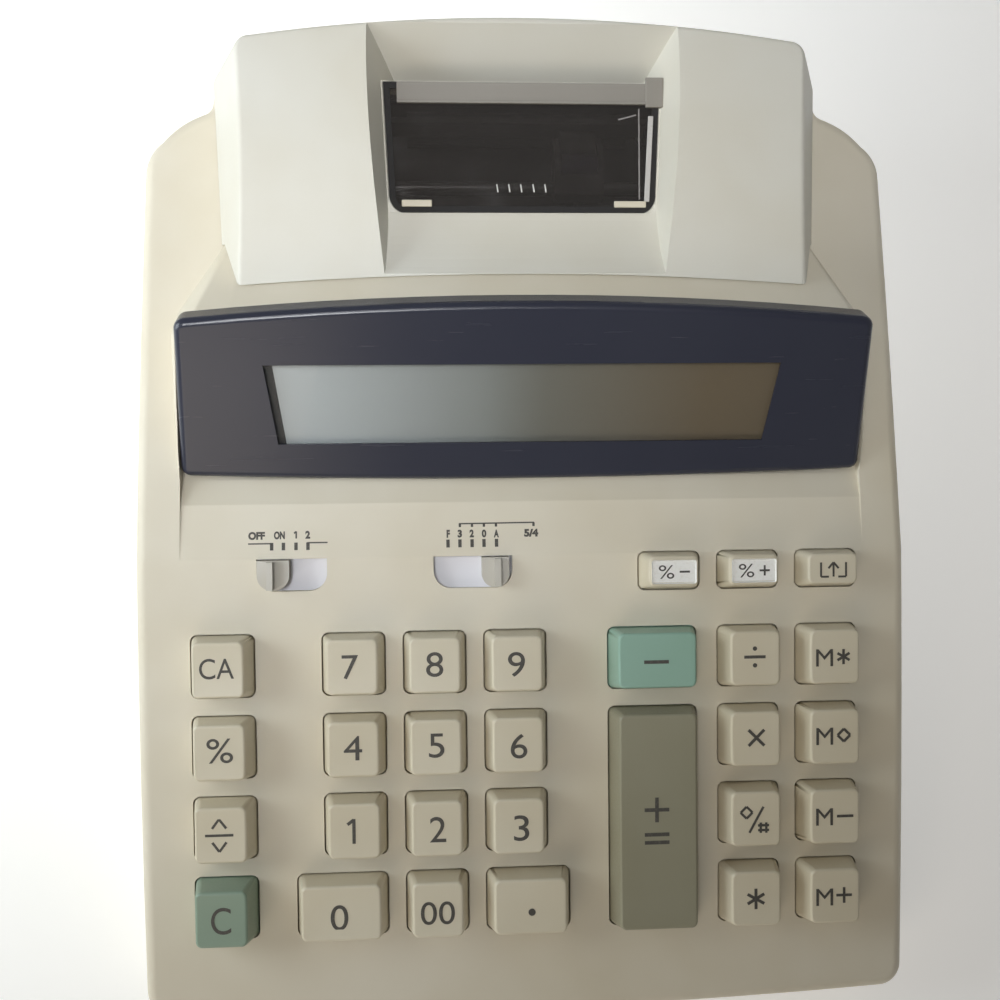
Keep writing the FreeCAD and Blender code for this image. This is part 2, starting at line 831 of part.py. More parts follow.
def inset(label, sketch, distance):
    """The outline of a sketch, moved inwards by a distance, or outwards by a negative one."""
    edge = doc.addObject("Part::Offset2D", label)
    edge.Source = sketch
    edge.Join = "Arc"
    edge.Fill = False
    bind(edge, "Value", "-(%s)" % distance)
    return edge


def raised(label, base, height):
    """An outline stretched straight along its own normal."""
    solid = doc.addObject("Part::Extrusion", label)
    solid.Base = base
    solid.DirMode = "Normal"
    bind(solid, "LengthFwd", height)
    solid.Solid = True
    return solid


def plan_prism(label, distance, z0, height):
    """The case's plan, inset by a distance and raised from a height."""
    sketch = place(outline(label + "_plan", CASE_PLAN), "0", "0", z0)
    if distance != "0":
        sketch = inset(label + "_edge", sketch, distance)
    return raised(label, sketch, height)


def frame_n(v, drop="0"):
    """Deck N of the plane that the hump's side ribs end on."""
    return "((%s - frame_v) * tan(frame_tilt) - frame_n - (%s))" % (v, drop)


def hump(label, gap):
    """The raised block behind the display, or the space inside it for a wall of that gap."""
    side = "(%s)" % gap
    rear = "(%s * 1.55)" % gap
    low = mirrored([
        ("hump_half_width - " + side, "hump_front_v + " + side),
        ("hump_half_width - " + side, "hump_side_v - " + side),
        ("hump_corner_x - %s / 2" % side, "hump_corner_v - " + rear, "hump_bow"),
    ])
    high = mirrored([
        ("hump_half_high - " + side, "hump_front_v + " + side),
        ("hump_half_high - " + side, "hump_side_v_high - " + rear),
        ("hump_corner_x_high - " + side, "hump_corner_v_high - " + rear, "hump_bow_high"),
    ])
    whole = deck_loft(label + "_loft", low, "-hump_depth", high, "hump_depth")
    far = "(hump_corner_v + hump_bow + 5)"
    near = "(hump_front_v - 5)"
    below = deck_profile(label + "_limit", [
        (near, "-2 * hump_depth"),
        (far, "-2 * hump_depth"),
        (far, frame_n(far, gap)),
        (near, frame_n(near, gap)),
    ], "body_width")
    return common(label, whole, below)


# Display outlines, on its own face

BEZEL = mirrored([
    ("bezel_half_width - 0.85 * bezel_corner", "bezel_bottom_bow - bezel_bottom",
     "0.28 * bezel_corner"),
    ("bezel_half_width", "bezel_bottom_bow - bezel_bottom + 0.87 * bezel_corner"),
    ("bezel_half_width - bezel_taper", "bezel_top - bezel_top_bow - bezel_corner",
     "0.28 * bezel_corner"),
    ("bezel_half_width - bezel_taper - 0.9 * bezel_corner", "bezel_top - bezel_top_bow",
     "bezel_top_bow"),
], "bezel_bottom_bow")

LCD_OPENING = [
    ("-lcd_half_bottom - lcd_band", "-lcd_bottom"),
    ("lcd_half_bottom", "-lcd_bottom"),
    ("lcd_half_top", "lcd_top"),
    ("-lcd_half_top - lcd_band", "lcd_top"),
]


def display_prism(label, corners, grow, h0, h1):
    """A display outline, grown by a distance and stretched between two depths."""
    sketch = place_on_display(outline(label + "_face", corners), "0", "0", h0)
    if grow != "0":
        sketch = inset(label + "_edge", sketch, "-(%s)" % grow)
    return raised(label, sketch, "(%s) - (%s)" % (h1, h0))


# Upper case

PILOT = "(screw_shaft + 2 * screw_play)"
BOSS_PLACES = [
    ("case_screw_front_x", "-case_screw_front_y"),
    ("case_screw_middle_x", "case_screw_middle_y"),
    ("case_screw_rear_x", "case_screw_rear_y"),
]
BOARD_POSTS = [
    ("-board_post_x", "-board_post_v"),
    ("board_post_middle_x", "-board_post_v"),
    ("-board_post_x", "-board_post_front_v"),
    ("board_post_middle_x", "-board_post_front_v"),
    ("board_post_right_x", "-board_post_front_v"),
]


def both_sides(places):
    """Each place and its mirror image across the middle."""
    return [(sign + x, y) for x, y in places for sign in ("", "-")]


def switch_slot(label, x, length):
    """A slot with a straight rear edge and round front corners."""
    half = "(%s / 2)" % length
    corner = "slot_corner"
    sketch = place_on_deck(outline(label + "_face", [
        ("-%s + %s" % (half, corner), "-slot_width", ),
        ("%s - %s" % (half, corner), "-slot_width", "0.293 * slot_corner"),
        (half, "-slot_width + slot_corner"),
        (half, "0"),
        ("-" + half, "0"),
        ("-" + half, "-slot_width + slot_corner", "0.293 * slot_corner"),
    ]), x, "crease_v", "-2 * wall")
    return raised(label, sketch, "3 * wall")


def case_bosses(label, places, diameter, z0, z1):
    """A row of upright cylinders at places of the row's plan."""
    return [rod("%s_%d" % (label, index), diameter, "(%s) - (%s)" % (z1, z0), "z", x, y, z0)
            for index, (x, y) in enumerate(places, start=1)]


tray_column = plan_prism("tray_column", "0", "parting_height", REACH)
tray_square = common("tray_square", tray_column, under_top("tray_top", "0", "0"))


def on_rim(edge):
    """Whether an edge of the tray runs round its top."""
    box = edge.BoundBox
    upright_edge = box.XLength < 0.01 and box.YLength < 0.01
    crease = box.YLength < 0.01 and box.XLength > 100
    return box.ZMin > number("parting_height") + 1 and not upright_edge and not crease


tray_outer = rounded("tray_outer", tray_square, "edge_round", on_rim)
tray_inner = common("tray_inner", plan_prism("tray_void", "wall", "0", REACH),
                    under_top("tray_lining", "wall", "0"))
hump_square = hump("hump_block", "0")


def on_hump_edge(edge):
    """Whether an edge of the hump bounds its upper face and shows beside or behind the display."""
    box = edge.BoundBox
    high = box.ZMax > number(row_z("hump_side_v_high", "0"))
    return high and not (box.ZMax - box.ZMin < 0.01 and box.YMax < number(row_y("frame_v", "0")))


hump_outer = rounded("hump_outer", hump_square, "hump_round", on_hump_edge)
doc.recompute()


RECESS_TOP = "(recess_floor + recess_height)"


def band_space(label, half_width, top):
    """The space from a little under the display seat up to well above it."""
    back_v = display_v("bezel_top + 0.4", "-bezel_thickness - wall")
    back_n = display_n("bezel_top + 0.4", "-bezel_thickness - wall")
    foot_v = display_v("-bezel_bottom - wall / 2", "-bezel_thickness - wall")
    foot_n = display_n("-bezel_bottom - wall / 2", "-bezel_thickness - wall")
    return deck_profile(label, [
        ("crease_v - wall / 4", "-wall"),
        ("crease_v + wall", "-wall"),
        ("frame_v - wall / 2", "-dish_drop - wall"),
        ("dish_foot_v - wall", "-dish_foot_n - 1.4 * wall"),
        (foot_v, foot_n),
        (back_v, back_n),
        (back_v, top),
        ("crease_v - wall / 4", top),
    ], half_width)


def dish(label):
    """The hollow between the crease and the foot of the display."""
    return deck_profile(label, [
        ("crease_v", "0"),
        ("frame_v", "-dish_drop"),
        ("dish_foot_v", "-dish_foot_n"),
        ("dish_foot_v + 3", "-dish_foot_n - 1.3"),
        ("dish_foot_v + 3", "hump_depth"),
        ("crease_v", "hump_depth"),
    ], "dish_half_width")


def well_tools():
    """One prism for each key's well, with round corners."""
    boxes = []
    for node, form, x, v in KEYS:
        width, length = wells[form]
        boxes.append(deck_block(node + "_well", "%s - %s / 2" % (x, width), "%s + %s / 2" % (x, width),
                                "%s - %s" % (v, length), v, "-2 * wall", "wall"))
    together = group("well_blocks", *boxes)
    tall = number("2.5 * wall")
    return rounded("wells", together, "well_corner", lambda edge: edge.BoundBox.ZLength > tall)


case_solid = joined("case_solid", tray_outer, hump_outer)
case_void = cut("case_void", joined("case_space", tray_inner, hump("hump_space", "wall")),
                band_space("band", "dish_half_width + wall", "2 * hump_depth"))
case_shell = cut("case_shell", case_solid, case_void)
case_bosses_up = case_bosses("case_boss", both_sides(BOSS_PLACES), "boss", "parting_height", REACH)
board_bosses = [deck_post("board_boss_%d" % index, "boss", x, v, BOARD_TOP, "0")
                for index, (x, v) in enumerate(BOARD_POSTS, start=1)]
recess_box = row_block("recess_box", "-recess_half_width - wall", "recess_half_width + wall",
                       "recess_y - wall", "body_depth", "recess_floor - wall", RECESS_TOP + " + wall")
inner_pieces = common("case_inner_pieces", case_solid,
                      joined("case_inner_blocks", recess_box, *(case_bosses_up + board_bosses)))
case_body = joined("case_body", case_shell, inner_pieces)

ear_v = ("hinge_v - hinge_ear", "hinge_v + hinge_ear")
ears = []
for side, x0, x1 in (("left", "-hinge_x - hinge_ear", "-hinge_x"),
                     ("right", "hinge_x", "hinge_x + hinge_ear")):
    ears.append(deck_block(side + "_ear", x0, x1, ear_v[0], ear_v[1],
                           cheek_n("hinge_v", "wall / 2"), "-hinge_n"))
    ears.append(rod(side + "_ear_eye", "2 * hinge_ear", "hinge_ear", "x",
                    x0, row_y("hinge_v", "-hinge_n"), row_z("hinge_v", "-hinge_n")))

bay = deck_block("bay", "-bay_half_width", "bay_half_width", "bay_front_v", "bay_rear_v",
                 cheek_n("bay_rear_v", "1.2 * wall"), "2 * hump_depth")
case_open = joined("case_open", cut("case_bay", case_body, bay), *ears)

slots = [
    switch_slot("left_slot", "-left_slot_x", "left_slot_length"),
    switch_slot("right_slot", "-right_slot_x", "right_slot_length"),
]
case_cuts = [
    dish("dish_space"),
    display_prism("bezel_pocket", BEZEL, "rest_gap", "-bezel_thickness", "3 * bezel_thickness"),
    display_prism("holder_window", LCD_OPENING, "pane_lap + 2 * rest_gap",
                  "-bezel_thickness - 2 * wall", "0"),
    well_tools(),
    row_block("recess_space", "-recess_half_width", "recess_half_width",
              "recess_y", "body_depth", "recess_floor", RECESS_TOP),
    rod("hinge_hole", "hinge_pin + 2 * hinge_play", "3 * hinge_x", "x", "-1.5 * hinge_x",
        row_y("hinge_v", "-hinge_n"), row_z("hinge_v", "-hinge_n")),
    rod("jack_hole", "jack_opening", "body_depth", "y", "-jack_x", "jack_rear_y", "jack_z"),
]
case_cuts += slots
for index, (x, y) in enumerate(both_sides(BOSS_PLACES), start=1):
    case_cuts.append(rod("case_pilot_%d" % index, PILOT, "screw_length", "z",
                         x, y, "parting_height"))
for index, (x, v) in enumerate(BOARD_POSTS, start=1):
    case_cuts.append(deck_post("board_pilot_%d" % index, PILOT, x, v,
                               BOARD_TOP, BOARD_TOP + " + screw_length - board_thickness"))
for side, x in (("left", "-roll_pivot_x"), ("right", "roll_pivot_x")):
    case_cuts.append(rod(side + "_arm_hole", "arm_pin + 2 * bearing_play", "recess_height + 1.8 * wall",
                         "z", x, "roll_pivot_y", "recess_floor - 0.9 * wall"))
case_tools = joined("case_tools", *case_cuts)
nodes["upper_case"] = cut("upper_case", case_open, case_tools)
doc.recompute()


# Printer cover

def cover_outline(n, gap):
    """The cover's plan at a deck height, or that of the space inside it."""
    half = "(cover_half_width + cover_side_run * (cover_face_n - (%s)) - %s)" % (n, gap)
    rear = "(cover_rear_v + tan(deck_tilt) * ((%s) - 3) - cover_rear_bow - %s)" % (n, gap)
    return mirrored([
        (half, "cover_front_v"),
        (half, rear + " - cover_corner", "0.293 * cover_corner"),
        (half + " - cover_corner", rear, "cover_rear_bow"),
    ])


def cover_form(label, gap):
    """The cover's outer body, or the space inside it, with its crowned top."""
    whole = deck_loft(label + "_loft", cover_outline("-cover_low_n", gap), "-cover_low_n",
                      cover_outline("cover_high_n", gap), "cover_high_n")
    crown = deck_profile(label + "_crown", [
        ("cover_front_v - 1", "-2 * cover_low_n"),
        ("cover_far_v", "-2 * cover_low_n"),
        ("cover_far_v", "cover_far_n - " + gap, "cover_face_bow"),
        ("cover_front_v - 1", "cover_front_n - " + gap),
    ], "body_width")
    return common(label, whole, crown)


def trough(label, grow):
    """The hollow that the paper leaves through, or that hollow with its wall round it."""
    low = [
        ("-trough_front_low - " + grow, "trough_front_v"),
        ("trough_front_low + " + grow, "trough_front_v"),
        ("trough_rear_low + " + grow, "trough_back_v"),
        ("-trough_rear_low - " + grow, "trough_back_v"),
    ]
    high = [
        ("-trough_front_high - " + grow, "trough_front_v"),
        ("trough_front_high + " + grow, "trough_front_v"),
        ("trough_rear_high + " + grow, "trough_back_v"),
        ("-trough_rear_high - " + grow, "trough_back_v"),
    ]
    sides = deck_loft(label + "_sides", low, "-trough_deep_n", high, "trough_high_n")
    run = "((trough_rear_v - slot_foot_v) / (trough_rear_n + slot_foot_n))"
    back = "1.3 * " + grow
    floor = deck_profile(label + "_floor", [
        ("trough_front_v", "ramp_top_n - " + grow, "ramp_hollow"),
        ("ramp_foot_v", "-trough_floor_n - " + grow),
        ("window_end_v + rest_gap", "-trough_floor_n - " + grow),
        ("window_end_v + rest_gap", "-slot_foot_n"),
        ("slot_foot_v + " + back, "-slot_foot_n"),
        ("slot_foot_v + %s * (trough_high_n + slot_foot_n) + %s" % (run, back), "trough_high_n"),
        ("trough_front_v", "trough_high_n"),
    ], "body_width")
    return common(label, sides, floor)


WINDOW = mirrored([
    ("window_half_front", "ramp_foot_v", "0.2 * window_corner_v"),
    ("window_half_side", "ramp_foot_v + window_corner_v"),
    ("window_half_rear", "window_end_v"),
])


def window_prism(label, grow, n0, n1):
    """The window's outline, grown by a distance and stretched between two heights."""
    sketch = place_on_deck(outline(label + "_face", WINDOW), "0", "0", n0)
    if grow != "0":
        sketch = inset(label + "_edge", sketch, "-(%s)" % grow)
    return raised(label, sketch, "(%s) - (%s)" % (n1, n0))


HINGE_Y = row_y("hinge_v", "-hinge_n")
HINGE_Z = row_z("hinge_v", "-hinge_n")


def cover_swing_space():
    """What the cover's lower rear leaves free so that it can turn about its hinge."""
    behind = row_block("swing_block", "-body_width", "body_width", HINGE_Y, "body_depth",
                       "parting_height", HINGE_Z)
    kept = rod("swing_round", "2 * cover_swing", "2 * body_width", "x", "-body_width", HINGE_Y, HINGE_Z)
    return cut("swing_space", behind, kept)


cover_square = cover_form("cover_block", "0")


def on_cover_top(edge):
    """Whether an edge of the cover bounds its crowned top or runs up its rear corners."""
    box = edge.BoundBox
    high = box.ZMin > number(row_z("cover_front_v", "-cover_low_n / 2"))
    front = box.XLength > number("cover_half_width") and box.YMax < number(row_y("cover_front_v", "-2"))
    return high and not front


cover_outer = rounded("cover_outer", cover_square, "cover_round", on_cover_top)
cover_under = under_top("cover_under", "-cover_gap", "0")
cover_space = cut("cover_space", cut("cover_room", cover_form("cover_void", "cover_wall"),
                                     hump("hump_thick", "-cover_gap - cover_wall")),
                  trough("trough_thick", "trough_wall"))
cover_shell = cut("cover_shell", cover_outer, cover_space)
lugs = []
pins = []
for side, lug_x, pin_x in (
        ("left", "-hinge_x - hinge_ear - rest_gap - hinge_lug", "-hinge_x - hinge_ear - 1.5 * rest_gap"),
        ("right", "hinge_x + hinge_ear + rest_gap", "hinge_x + rest_gap")):
    lugs.append(rod(side + "_lug", "2 * hinge_ear - 1", "hinge_lug", "x", lug_x, HINGE_Y, HINGE_Z))
    pins.append(rod(side + "_pin", "hinge_pin", "hinge_ear + 1.2 * rest_gap", "x", pin_x,
                    HINGE_Y, HINGE_Z))
cover_walls = joined("cover_walls", cover_shell, common("cover_lugs", cover_outer, group("lugs", *lugs)))
ear_notches = [
    row_block(side + "_ear_notch", x0 + " - rest_gap", x0 + " + hinge_ear + rest_gap",
              HINGE_Y + " - hinge_ear - 2 * rest_gap", "body_depth", "parting_height",
              HINGE_Z + " + hinge_ear + rest_gap")
    for side, x0 in (("left", "-hinge_x - hinge_ear"), ("right", "hinge_x"))]
cover_open = cut_each("cover_open", cover_walls, [
    cover_under,
    hump("hump_clear", "-cover_gap"),
    trough("trough", "0"),
    window_prism("window_seat", "cover_play", "-trough_floor_n - window_thickness", "0"),
    window_prism("window_hole", "-window_ledge", "-trough_deep_n", "0"),
    cover_swing_space(),
    row_block("paper_inlet", "-paper_half_width - 2 * rest_gap", "paper_half_width + 2 * rest_gap",
              HINGE_Y, "body_depth", "parting_height", row_z("cover_rear_v", "-inlet_n")),
] + ear_notches)
nodes["printer_cover"] = joined("printer_cover", cover_open, *pins)
nodes["cover_window"] = window_prism("cover_window", "0", "-trough_floor_n - window_thickness",
                                     "-trough_floor_n")


# Display

DISPLAY_BACK = "(-mask_thickness - rest_gap / 3 - pane_thickness)"
LCD_FACE = "(%s - rest_gap)" % DISPLAY_BACK
LCD_BACK = "(%s - lcd_thickness)" % LCD_FACE
SEAT_BACK = "(-bezel_thickness - wall)"

GLASS_LAP = "(pane_lap - rest_gap)"
LCD_GLASS = [
    ("-lcd_half_bottom", "-lcd_bottom - " + GLASS_LAP),
    ("lcd_half_bottom + " + GLASS_LAP, "-lcd_bottom - " + GLASS_LAP),
    ("lcd_half_top + " + GLASS_LAP, "lcd_top + " + GLASS_LAP),
    ("-lcd_half_top", "lcd_top + " + GLASS_LAP),
]

bezel_block = display_prism("bezel_block", BEZEL, "0", "-bezel_thickness", "0")


def display_height(point):
    """How far a row point stands out from the display's front face."""
    tilt = math.radians(number("deck_tilt + display_tilt"))
    rise = point.z - number(row_z("display_v", "display_n"))
    back = point.y - number(row_y("display_v", "display_n"))
    return rise * math.cos(tilt) - back * math.sin(tilt)


def on_bezel_front(edge):
    """Whether an edge bounds the front face of the display's surround."""
    return all(abs(display_height(vertex.Point)) < 0.01 for vertex in edge.Vertexes)


bezel_round_block = rounded("bezel_round_block", bezel_block, "bezel_round", on_bezel_front)
bezel_tools = joined(
    "bezel_tools",
    display_prism("bezel_opening", LCD_OPENING, "0", "-2 * bezel_thickness", "bezel_thickness"),
    display_prism("bezel_rebate", LCD_OPENING, "pane_lap + rest_gap / 3", "-2 * bezel_thickness",
                  "-mask_thickness"))
nodes["display_bezel"] = cut("display_bezel", bezel_round_block, bezel_tools)
nodes["display_window"] = display_prism("display_window", LCD_OPENING, "pane_lap", DISPLAY_BACK,
                                        "-mask_thickness - rest_gap / 3")
nodes["lcd_panel"] = display_prism("lcd_panel", LCD_GLASS, "0", LCD_BACK, LCD_FACE)
holder_parts = joined(
    "holder_parts",
    display_prism("holder_neck", LCD_OPENING, "pane_lap", SEAT_BACK + " - rest_gap", LCD_FACE),
    display_block("holder_flange", "-lcd_half_top - lcd_band - holder_lap",
                  "lcd_half_top + holder_lap", "-lcd_bottom - holder_lap", "lcd_top + holder_lap",
                  "-holder_back", SEAT_BACK + " - rest_gap"))
nodes["lcd_holder"] = cut("lcd_holder", holder_parts,
                          display_prism("holder_seat", LCD_GLASS, "rest_gap / 3", LCD_BACK,
                                        "bezel_thickness"))
doc.recompute()


# Key mat and board

def key_centre(form, v):
    """Deck V of the middle of a key whose well's rear edge is at v."""
    return "(%s - %s / 2)" % (v, wells[form][1])


def cone(label, low_radius, high_radius, height):
    """A cone bound to the sheet, still at the origin."""
    thing = doc.addObject("Part::Cone", label)
    bind(thing, "Radius1", low_radius)
    bind(thing, "Radius2", high_radius)
    bind(thing, "Height", height)
    return thing


MAT_HALF = "(board_width / 2 - mat_margin)"
MAT_BOTTOM = BOARD_TOP
dome_outsides = []
dome_insides = []
for node, form, x, v in KEYS:
    middle = key_centre(form, v)
    dome = cone(node + "_dome", "dome_base / 2", "key_post / 2", "key_travel - rest_gap")
    dome_outsides.append(place_on_deck(dome, x, middle, MAT_TOP))
    inside = cone(node + "_dome_space", "dome_base / 2 - mat_margin", "key_post / 2 - mat_margin",
                  "key_travel - rest_gap + mat_thickness - mat_margin")
    dome_insides.append(place_on_deck(inside, x, middle, MAT_BOTTOM))
mat_plate = deck_block("mat_plate", "-" + MAT_HALF, MAT_HALF, "-mat_front_v",
                       "board_rear_v - mat_margin", MAT_BOTTOM, MAT_TOP)
mat_holes = [deck_post("mat_hole_%d" % index, "boss + 2 * rest_gap", x, v, MAT_BOTTOM + " - 1", "0")
             for index, (x, v) in enumerate(BOARD_POSTS, start=1)]
nodes["key_mat"] = cut("key_mat", joined("mat_domes", mat_plate, *dome_outsides),
                       group("mat_spaces", *(dome_insides + mat_holes)))

SWITCHES = [
    ("power", "-left_knob_x", "left_knob_length", "-left_ridge_shift", "left_switch_travel"),
    ("decimal", "-right_knob_x", "right_knob_length", "right_ridge_shift", "-right_switch_travel"),
]
SLOT_MIDDLE = "(crease_v - slot_width / 2)"
board_plate = deck_block("board_plate", "-board_width / 2", "board_width / 2", "-board_front_v",
                         "board_rear_v", BOARD_BOTTOM, BOARD_TOP)
board_holes = [deck_post("board_hole_%d" % index, PILOT, x, v, BOARD_BOTTOM + " - 1", BOARD_TOP + " + 1")
               for index, (x, v) in enumerate(BOARD_POSTS, start=1)]
board_parts = [cut("board_drilled", board_plate, group("board_holes", *board_holes))]
mat_cuts = []
for name, x, length, shift, travel in SWITCHES:
    low = "min(%s; %s + %s) - stem_length" % (x, x, travel)
    high = "max(%s; %s + %s) + stem_length" % (x, x, travel)
    board_parts.append(deck_block(name + "_switch", low, high, SLOT_MIDDLE + " - stem_width",
                                  SLOT_MIDDLE + " + stem_width", BOARD_TOP, BOARD_TOP + " + switch_height"))
    mat_cuts.append(deck_block(name + "_mat_space", low + " - rest_gap", high + " + rest_gap",
                               SLOT_MIDDLE + " - stem_width - rest_gap", "2 * board_rear_v",
                               BOARD_TOP + " - 1", "0"))
CHIPS = [("main_chip", "-key_pitch", "0", "-chip_front_v", "key_pitch - chip_front_v"),
         ("driver_chip", "key_pitch", "2 * key_pitch", "-key_pitch / 2", "0")]
for label, x0, x1, v0, v1 in CHIPS:
    board_parts.append(deck_block(label, x0, x1, v0, v1, BOARD_BOTTOM + " - chip_thickness", BOARD_BOTTOM))
nodes["main_board"] = joined("main_board", *board_parts)
nodes["key_mat"] = cut("key_mat_open", nodes["key_mat"], group("mat_cuts", *mat_cuts))


# Slide switches

def knob_prism(label, x, length, gap, n0, n1):
    """A knob's shape, its front corners almost meeting, between two heights."""
    half = "((%s) / 2 - %s)" % (length, gap)
    corner = "(%s - knob_flat / 2)" % half
    front = "(%s - slot_width)" % gap
    face = place_on_deck(outline(label + "_face", [
        ("%s - %s" % (corner, half), front),
        ("%s - %s" % (half, corner), front, "0.293 * %s" % corner),
        (half, front + " + " + corner),
        (half, "-" + gap),
        ("-" + half, "-" + gap),
        ("-" + half, front + " + " + corner, "0.293 * %s" % corner),
    ]), x, "crease_v", n0)
    return raised(label, face, "(%s) - (%s)" % (n1, n0))


# Under the case each knob has a thin slider, long enough to close its slot wherever the knob stands
SLIDER_FROM = {name: "(-%s_slot_x - %s_slot_length / 2 - slider_lap)" % (side, side)
               for name, side in (("power", "left"), ("decimal", "right"))}
SLIDER_TO = {name: "(-%s_slot_x + %s_slot_length / 2 + slider_lap)" % (side, side)
             for name, side in (("power", "left"), ("decimal", "right"))}

for name, x, length, shift, travel in SWITCHES:
    node = name + "_switch_knob"
    ridge = "(%s + %s)" % (x, shift)
    low_n = "-wall - rest_gap - knob_flange"
    knob_parts = [
        knob_prism(name + "_knob", x, length, "rest_gap", low_n, "knob_rise"),
        deck_block(name + "_slider", "%s - max(%s; 0)" % (SLIDER_FROM[name], travel),
                   "%s - min(%s; 0)" % (SLIDER_TO[name], travel),
                   "crease_v - slot_width - 2 * knob_flange", "crease_v + 2 * knob_flange",
                   low_n, "-wall - rest_gap"),
        deck_block(name + "_ridge", ridge + " - ridge_width / 2", ridge + " + ridge_width / 2",
                   "crease_v - slot_width + 2 * rest_gap", "crease_v - 2 * rest_gap", "0",
                   "knob_rise + ridge_rise"),
        deck_block(name + "_stem", "%s - stem_length / 2" % x, "%s + stem_length / 2" % x,
                   SLOT_MIDDLE + " - stem_width / 2", SLOT_MIDDLE + " + stem_width / 2",
                   BOARD_TOP + " + switch_height + rest_gap", low_n),
    ]
    nodes[node] = joined(node, *knob_parts)

slits = []
for name, x, length, shift, travel in SWITCHES:
    low = "min(%s; %s + %s) - stem_length / 2 - 2 * rest_gap" % (x, x, travel)
    high = "max(%s; %s + %s) + stem_length / 2 + 2 * rest_gap" % (x, x, travel)
    slits.append(deck_block(name + "_slit", low, high, SLOT_MIDDLE + " - stem_width / 2 - rest_gap",
                            SLOT_MIDDLE + " + stem_width / 2 + rest_gap", "-4 * backing_n", "0"))
BACKING_LEFT = "(%s - left_switch_travel - 2 * rest_gap - backing_pad)" % SLIDER_FROM["power"]
BACKING_RIGHT = "(%s + right_switch_travel + 2 * rest_gap + backing_pad)" % SLIDER_TO["decimal"]
BACKING_MIDDLE = "((%s + left_switch_travel + %s - right_switch_travel) / 2 - backing_pad / 2)" % (
    SLIDER_TO["power"], SLIDER_FROM["decimal"])
backing_v = ("crease_v - slot_width - ridge_width", "crease_v + ridge_width")
backing_strip = deck_block("backing_strip", BACKING_LEFT, BACKING_RIGHT, backing_v[0], backing_v[1],
                           "-backing_n - backing_thickness", "-backing_n")
backing_pads = []
for index, x in enumerate((BACKING_LEFT, BACKING_MIDDLE, BACKING_RIGHT + " - backing_pad"), start=1):
    backing_pads.append(deck_block("backing_pad_%d" % index, x, x + " + backing_pad", backing_v[0],
                                   "crease_v", "-backing_n", "-wall"))
nodes["switch_backing"] = cut("switch_backing", joined("backing", backing_strip, *backing_pads),
                              group("backing_slits", *slits))
doc.recompute()


# Battery bay, door, cells and contacts

DOOR_TOP = "(foot_height + door_thickness)"
RIM_TOP = "(%s + rest_gap + bay_rim)" % DOOR_TOP
DOOR_HALF_LENGTH = "(bay_half_length + door_margin)"
DOOR_HALF_DEPTH = "(bay_half_depth + door_margin)"
CELL_Z = "(bay_ceiling - rest_gap - cell_diameter / 2)"
CELL_ROWS = ["(bay_y - cell_diameter / 2 - rest_gap)", "(bay_y + cell_diameter / 2 + rest_gap)"]
TONGUES = ["-door_tongue_x", "0", "door_tongue_x"]


def bay_block(label, half_length, half_depth, z0, z1):
    """A block centred on the battery bay."""
    return row_block(label, "-" + half_length, half_length, "bay_y - " + half_depth,
                     "bay_y + " + half_depth, z0, z1)


door_plate = bay_block("door_plate", DOOR_HALF_LENGTH, DOOR_HALF_DEPTH, "foot_height", DOOR_TOP)
door_tongues = [row_block("door_tongue_%d" % index, x + " - 2 * door_margin", x + " + 2 * door_margin",
                          "bay_y", "bay_y + %s + door_tongue" % DOOR_HALF_DEPTH,
                          "foot_height + door_lip + rest_gap / 2", DOOR_TOP)
                for index, x in enumerate(TONGUES, start=1)]
grips = [row_block("door_grip_%d" % index, "-door_tongue_x / 2", "door_tongue_x / 2",
                   "bay_y - bay_half_depth + 2 * grip_width * %d" % index,
                   "bay_y - bay_half_depth + grip_width * %d" % (2 * index + 1),
                   "foot_height - 1", "foot_height + grip_depth")
         for index in range(4)]
nodes["battery_door"] = cut("battery_door", joined("door_blank", door_plate, *door_tongues),
                            group("door_grips", *grips))

cells = []
CELL_BODY = "(cell_length - cell_nub)"
for row, y in enumerate(CELL_ROWS):
    for side, x0 in (("left", "-cell_length"), ("right", "0")):
        name = "%s_cell_%d" % (side, row)
        nub_x = "%s + %s" % (x0, CELL_BODY) if row == 0 else x0
        body_x = x0 if row == 0 else x0 + " + cell_nub"
        cells.append(joined(name, rod(name + "_can", "cell_diameter", CELL_BODY, "x", body_x, y, CELL_Z),
                            rod(name + "_nub", "cell_nub_diameter", "cell_nub", "x", nub_x, y, CELL_Z)))
nodes["battery_cells"] = group("battery_cells", *cells)

PLATE_X = "(bay_half_length - contact_thickness)"
contact_half = "(contact_height / 2)"
link = row_block("contact_link", "-bay_half_length", "-" + PLATE_X, CELL_ROWS[0] + " - " + contact_half,
                 CELL_ROWS[1] + " + " + contact_half, CELL_Z + " - " + contact_half,
                 CELL_Z + " + " + contact_half)
contacts = [joined("contact_left", link,
                   rod("contact_spring_1", "contact_spring", PLATE_X + " - cell_length", "x",
                       "-" + PLATE_X, CELL_ROWS[0], CELL_Z),
                   rod("contact_pad_1", "cell_nub_diameter", PLATE_X + " - cell_length", "x",
                       "-" + PLATE_X, CELL_ROWS[1], CELL_Z))]
for index, (y, diameter) in enumerate(zip(CELL_ROWS, ("cell_nub_diameter", "contact_spring")), start=2):
    plate = row_block("contact_plate_%d" % index, PLATE_X, "bay_half_length", y + " - " + contact_half,
                      y + " + " + contact_half, CELL_Z + " - " + contact_half,
                      CELL_Z + " + " + contact_half)
    contacts.append(joined("contact_right_%d" % index, plate,
                           rod("contact_spring_%d" % index, diameter, PLATE_X + " - cell_length", "x",
                               "cell_length", y, CELL_Z)))
nodes["battery_contacts"] = group("battery_contacts", *contacts)


# Lower case, feet and screws

